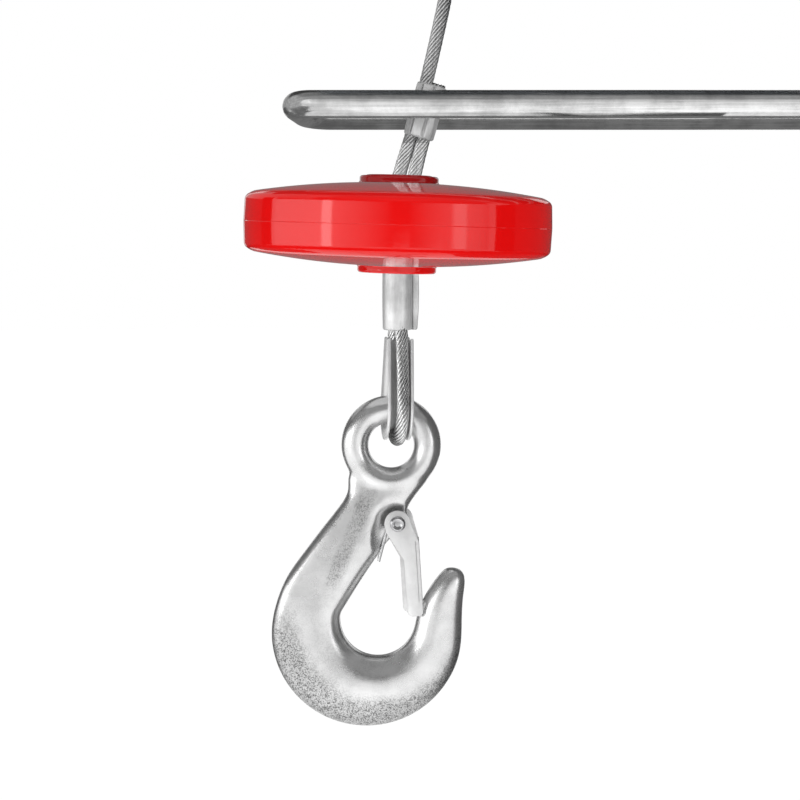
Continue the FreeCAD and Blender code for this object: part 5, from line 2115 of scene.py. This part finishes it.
@dataclass
class LimitLever:
    """Drawn rod bent into a hairpin, held in a hub that turns on bronze bushes."""

    d: float = 8.0
    spacing: float = 22.0
    roll: float = 6.1
    z: float = -55.5
    end_x: float = -50.3
    near_r: float = 4.6
    far_r: float = 8.0
    skew: float = 10.0
    socket_x: float = 122.0
    sides: int = 48
    bend_steps: int = 24
    hub_round: float = 0.4

    def rod(self, palette: Palette) -> bpy.types.Object:
        """Hairpin with a tight near bend and a wide far one, joined by a slanting stretch.

        Args:
            palette: the finishes.

        Returns:
            The rod.
        """
        shape = Shape()
        roll, skew = math.radians(self.roll), math.radians(self.skew)
        right = Vector((1.0, 0.0, 0.0))
        back = Vector((0.0, math.cos(roll), -math.sin(roll)))
        axis = back.cross(right)
        middle = Vector((0.0, 0.0, self.z))
        near = right * (self.end_x + self.d / 2 + self.near_r) + middle - back * (self.spacing / 2)
        start = right * (self.socket_x - near.x)
        place = Matrix.Translation(near + start) @ upright(right, Vector((0, 0, 1)))
        first = shape.ring(place, self.d / 2, self.d / 2, self.sides)
        edges = shape.drawn(first, -start)
        near_turn = near + back * self.near_r
        edges = shape.bent(edges, near_turn, axis, math.pi / 2 + skew, self.bend_steps)
        side = self.spacing - self.near_r * (1 + math.sin(skew)) - self.far_r * (1 - math.sin(skew))
        slant = (right * math.sin(skew) + back * math.cos(skew)) * (side / math.cos(skew))
        edges = shape.drawn(edges, slant)
        inwards = right * math.cos(skew) - back * math.sin(skew)
        far_turn = near_turn + slant + inwards * (self.far_r - self.near_r)
        edges = shape.bent(edges, far_turn, axis, math.pi / 2 - skew, self.bend_steps)
        last = shape.drawn(edges, right * (self.socket_x - far_turn.x))
        for ring in (first, last):
            bmesh.ops.contextual_create(shape.bm, geom=ring)
        shape.tidy()
        return shape.object("hairpin_rod", palette.rod)

    def build(self, palette: Palette) -> None:
        """Makes the rod and dresses the hub.

        Args:
            palette: the finishes.
        """
        settle_piece(self.rod(palette), Body.LEVER, ["lever_rod"])
        settle_piece(softened("lever_hub", palette.steel, self.hub_round), Body.LEVER)
        paint_node("lever_roll_pins", palette.steel)
        paint_node("pivot_bushes", palette.bronze)


@dataclass
class Carrier:
    """Folded frame with the rope's anchor, the lever's pivot and its stop."""

    channel_round: float = 0.3
    bush_round: float = 0.2
    sleeve_round: float = 0.15
    pin_round: float = 0.2
    stop_round: float = 0.15
    clip_round: float = 0.12

    def build(self, palette: Palette) -> None:
        """Dresses the frame and what is fixed to it.

        Args:
            palette: the finishes.
        """
        for node, finish, width, slot in (
                ("frame_channel", palette.coat, self.channel_round, Slot.FRAME_PAINT),
                ("rope_anchor_bush", palette.steel, self.bush_round, Slot.BARE_STEEL),
                ("rope_stop_sleeve", palette.ferrule, self.sleeve_round, Slot.FERRULE_ALUMINIUM),
                ("pivot_pin", palette.steel, self.pin_round, Slot.BARE_STEEL),
                ("lever_stop_pin", palette.steel, self.stop_round, Slot.BARE_STEEL),
                ("pivot_clip", palette.spring, self.clip_round, Slot.SPRING_STEEL)):
            settle_piece(softened(node, finish, width), Body.FRAME)


@dataclass
class LimitSwitch:
    """Small switch on its bracket, with a plunger that the lever's hub pushes."""

    bracket_round: float = 0.2
    body_round: float = 0.3
    screw_round: float = 0.2
    terminal_round: float = 0.1
    plunger_round: float = 0.15

    def build(self, palette: Palette) -> None:
        """Dresses the switch and its fasteners.

        Args:
            palette: the finishes.
        """
        for node, finish, width, slot in (
                ("switch_bracket", palette.sheet, self.bracket_round, Slot.ZINC_SHEET),
                ("switch_body", palette.black, self.body_round, Slot.SWITCH_BLACK),
                ("bracket_screws", palette.steel, self.screw_round, Slot.BARE_STEEL),
                ("switch_screws", palette.steel, self.screw_round, Slot.BARE_STEEL),
                ("switch_terminals", palette.brass, self.terminal_round, Slot.TERMINAL_BRASS)):
            settle_piece(softened(node, finish, width), Body.FRAME)
        plunger = softened("switch_plunger", palette.white, self.plunger_round)
        settle_piece(plunger, Body.PLUNGER)


def main() -> None:
    """Builds the studio and every sub-assembly."""
    logging.basicConfig(level=logging.INFO, format="%(name)s: %(message)s")
    Studio().build()
    palette = Palette()
    WireRope().build(palette)
    Ferrule("ferrule_high", "ferrule_upper", Vector((-11.2, 0, -63.4)), Vector((-7.08, 0, -48.27)),
            Vector((0.5, -0.85, 0.0)), r=4.62, flash_reach=5.2, flash_thick=2.4, facets=8, facet_round=0.15,
            turn=20.0, grooves=(-66.0, -22.0)).build(palette)
    Ferrule("ferrule_low", "ferrule_lower", Vector((-17.3, 0, -119.4)), Vector((-17.3, 0, -97.5)),
            Vector((0.982, 0.191, 0.0)), flash_reach=6.15, flash_back=1.0, flash_bulge=0.5,
            valley=(4.25, 4.85)).build(palette)
    Thimble().build(palette)
    ForgedHook().build(palette)
    SafetyLatch().build(palette)
    StopDisc().build(palette)
    LimitLever().build(palette)
    Carrier().build(palette)
    LimitSwitch().build(palette)


if __name__ == "__main__":
    main()
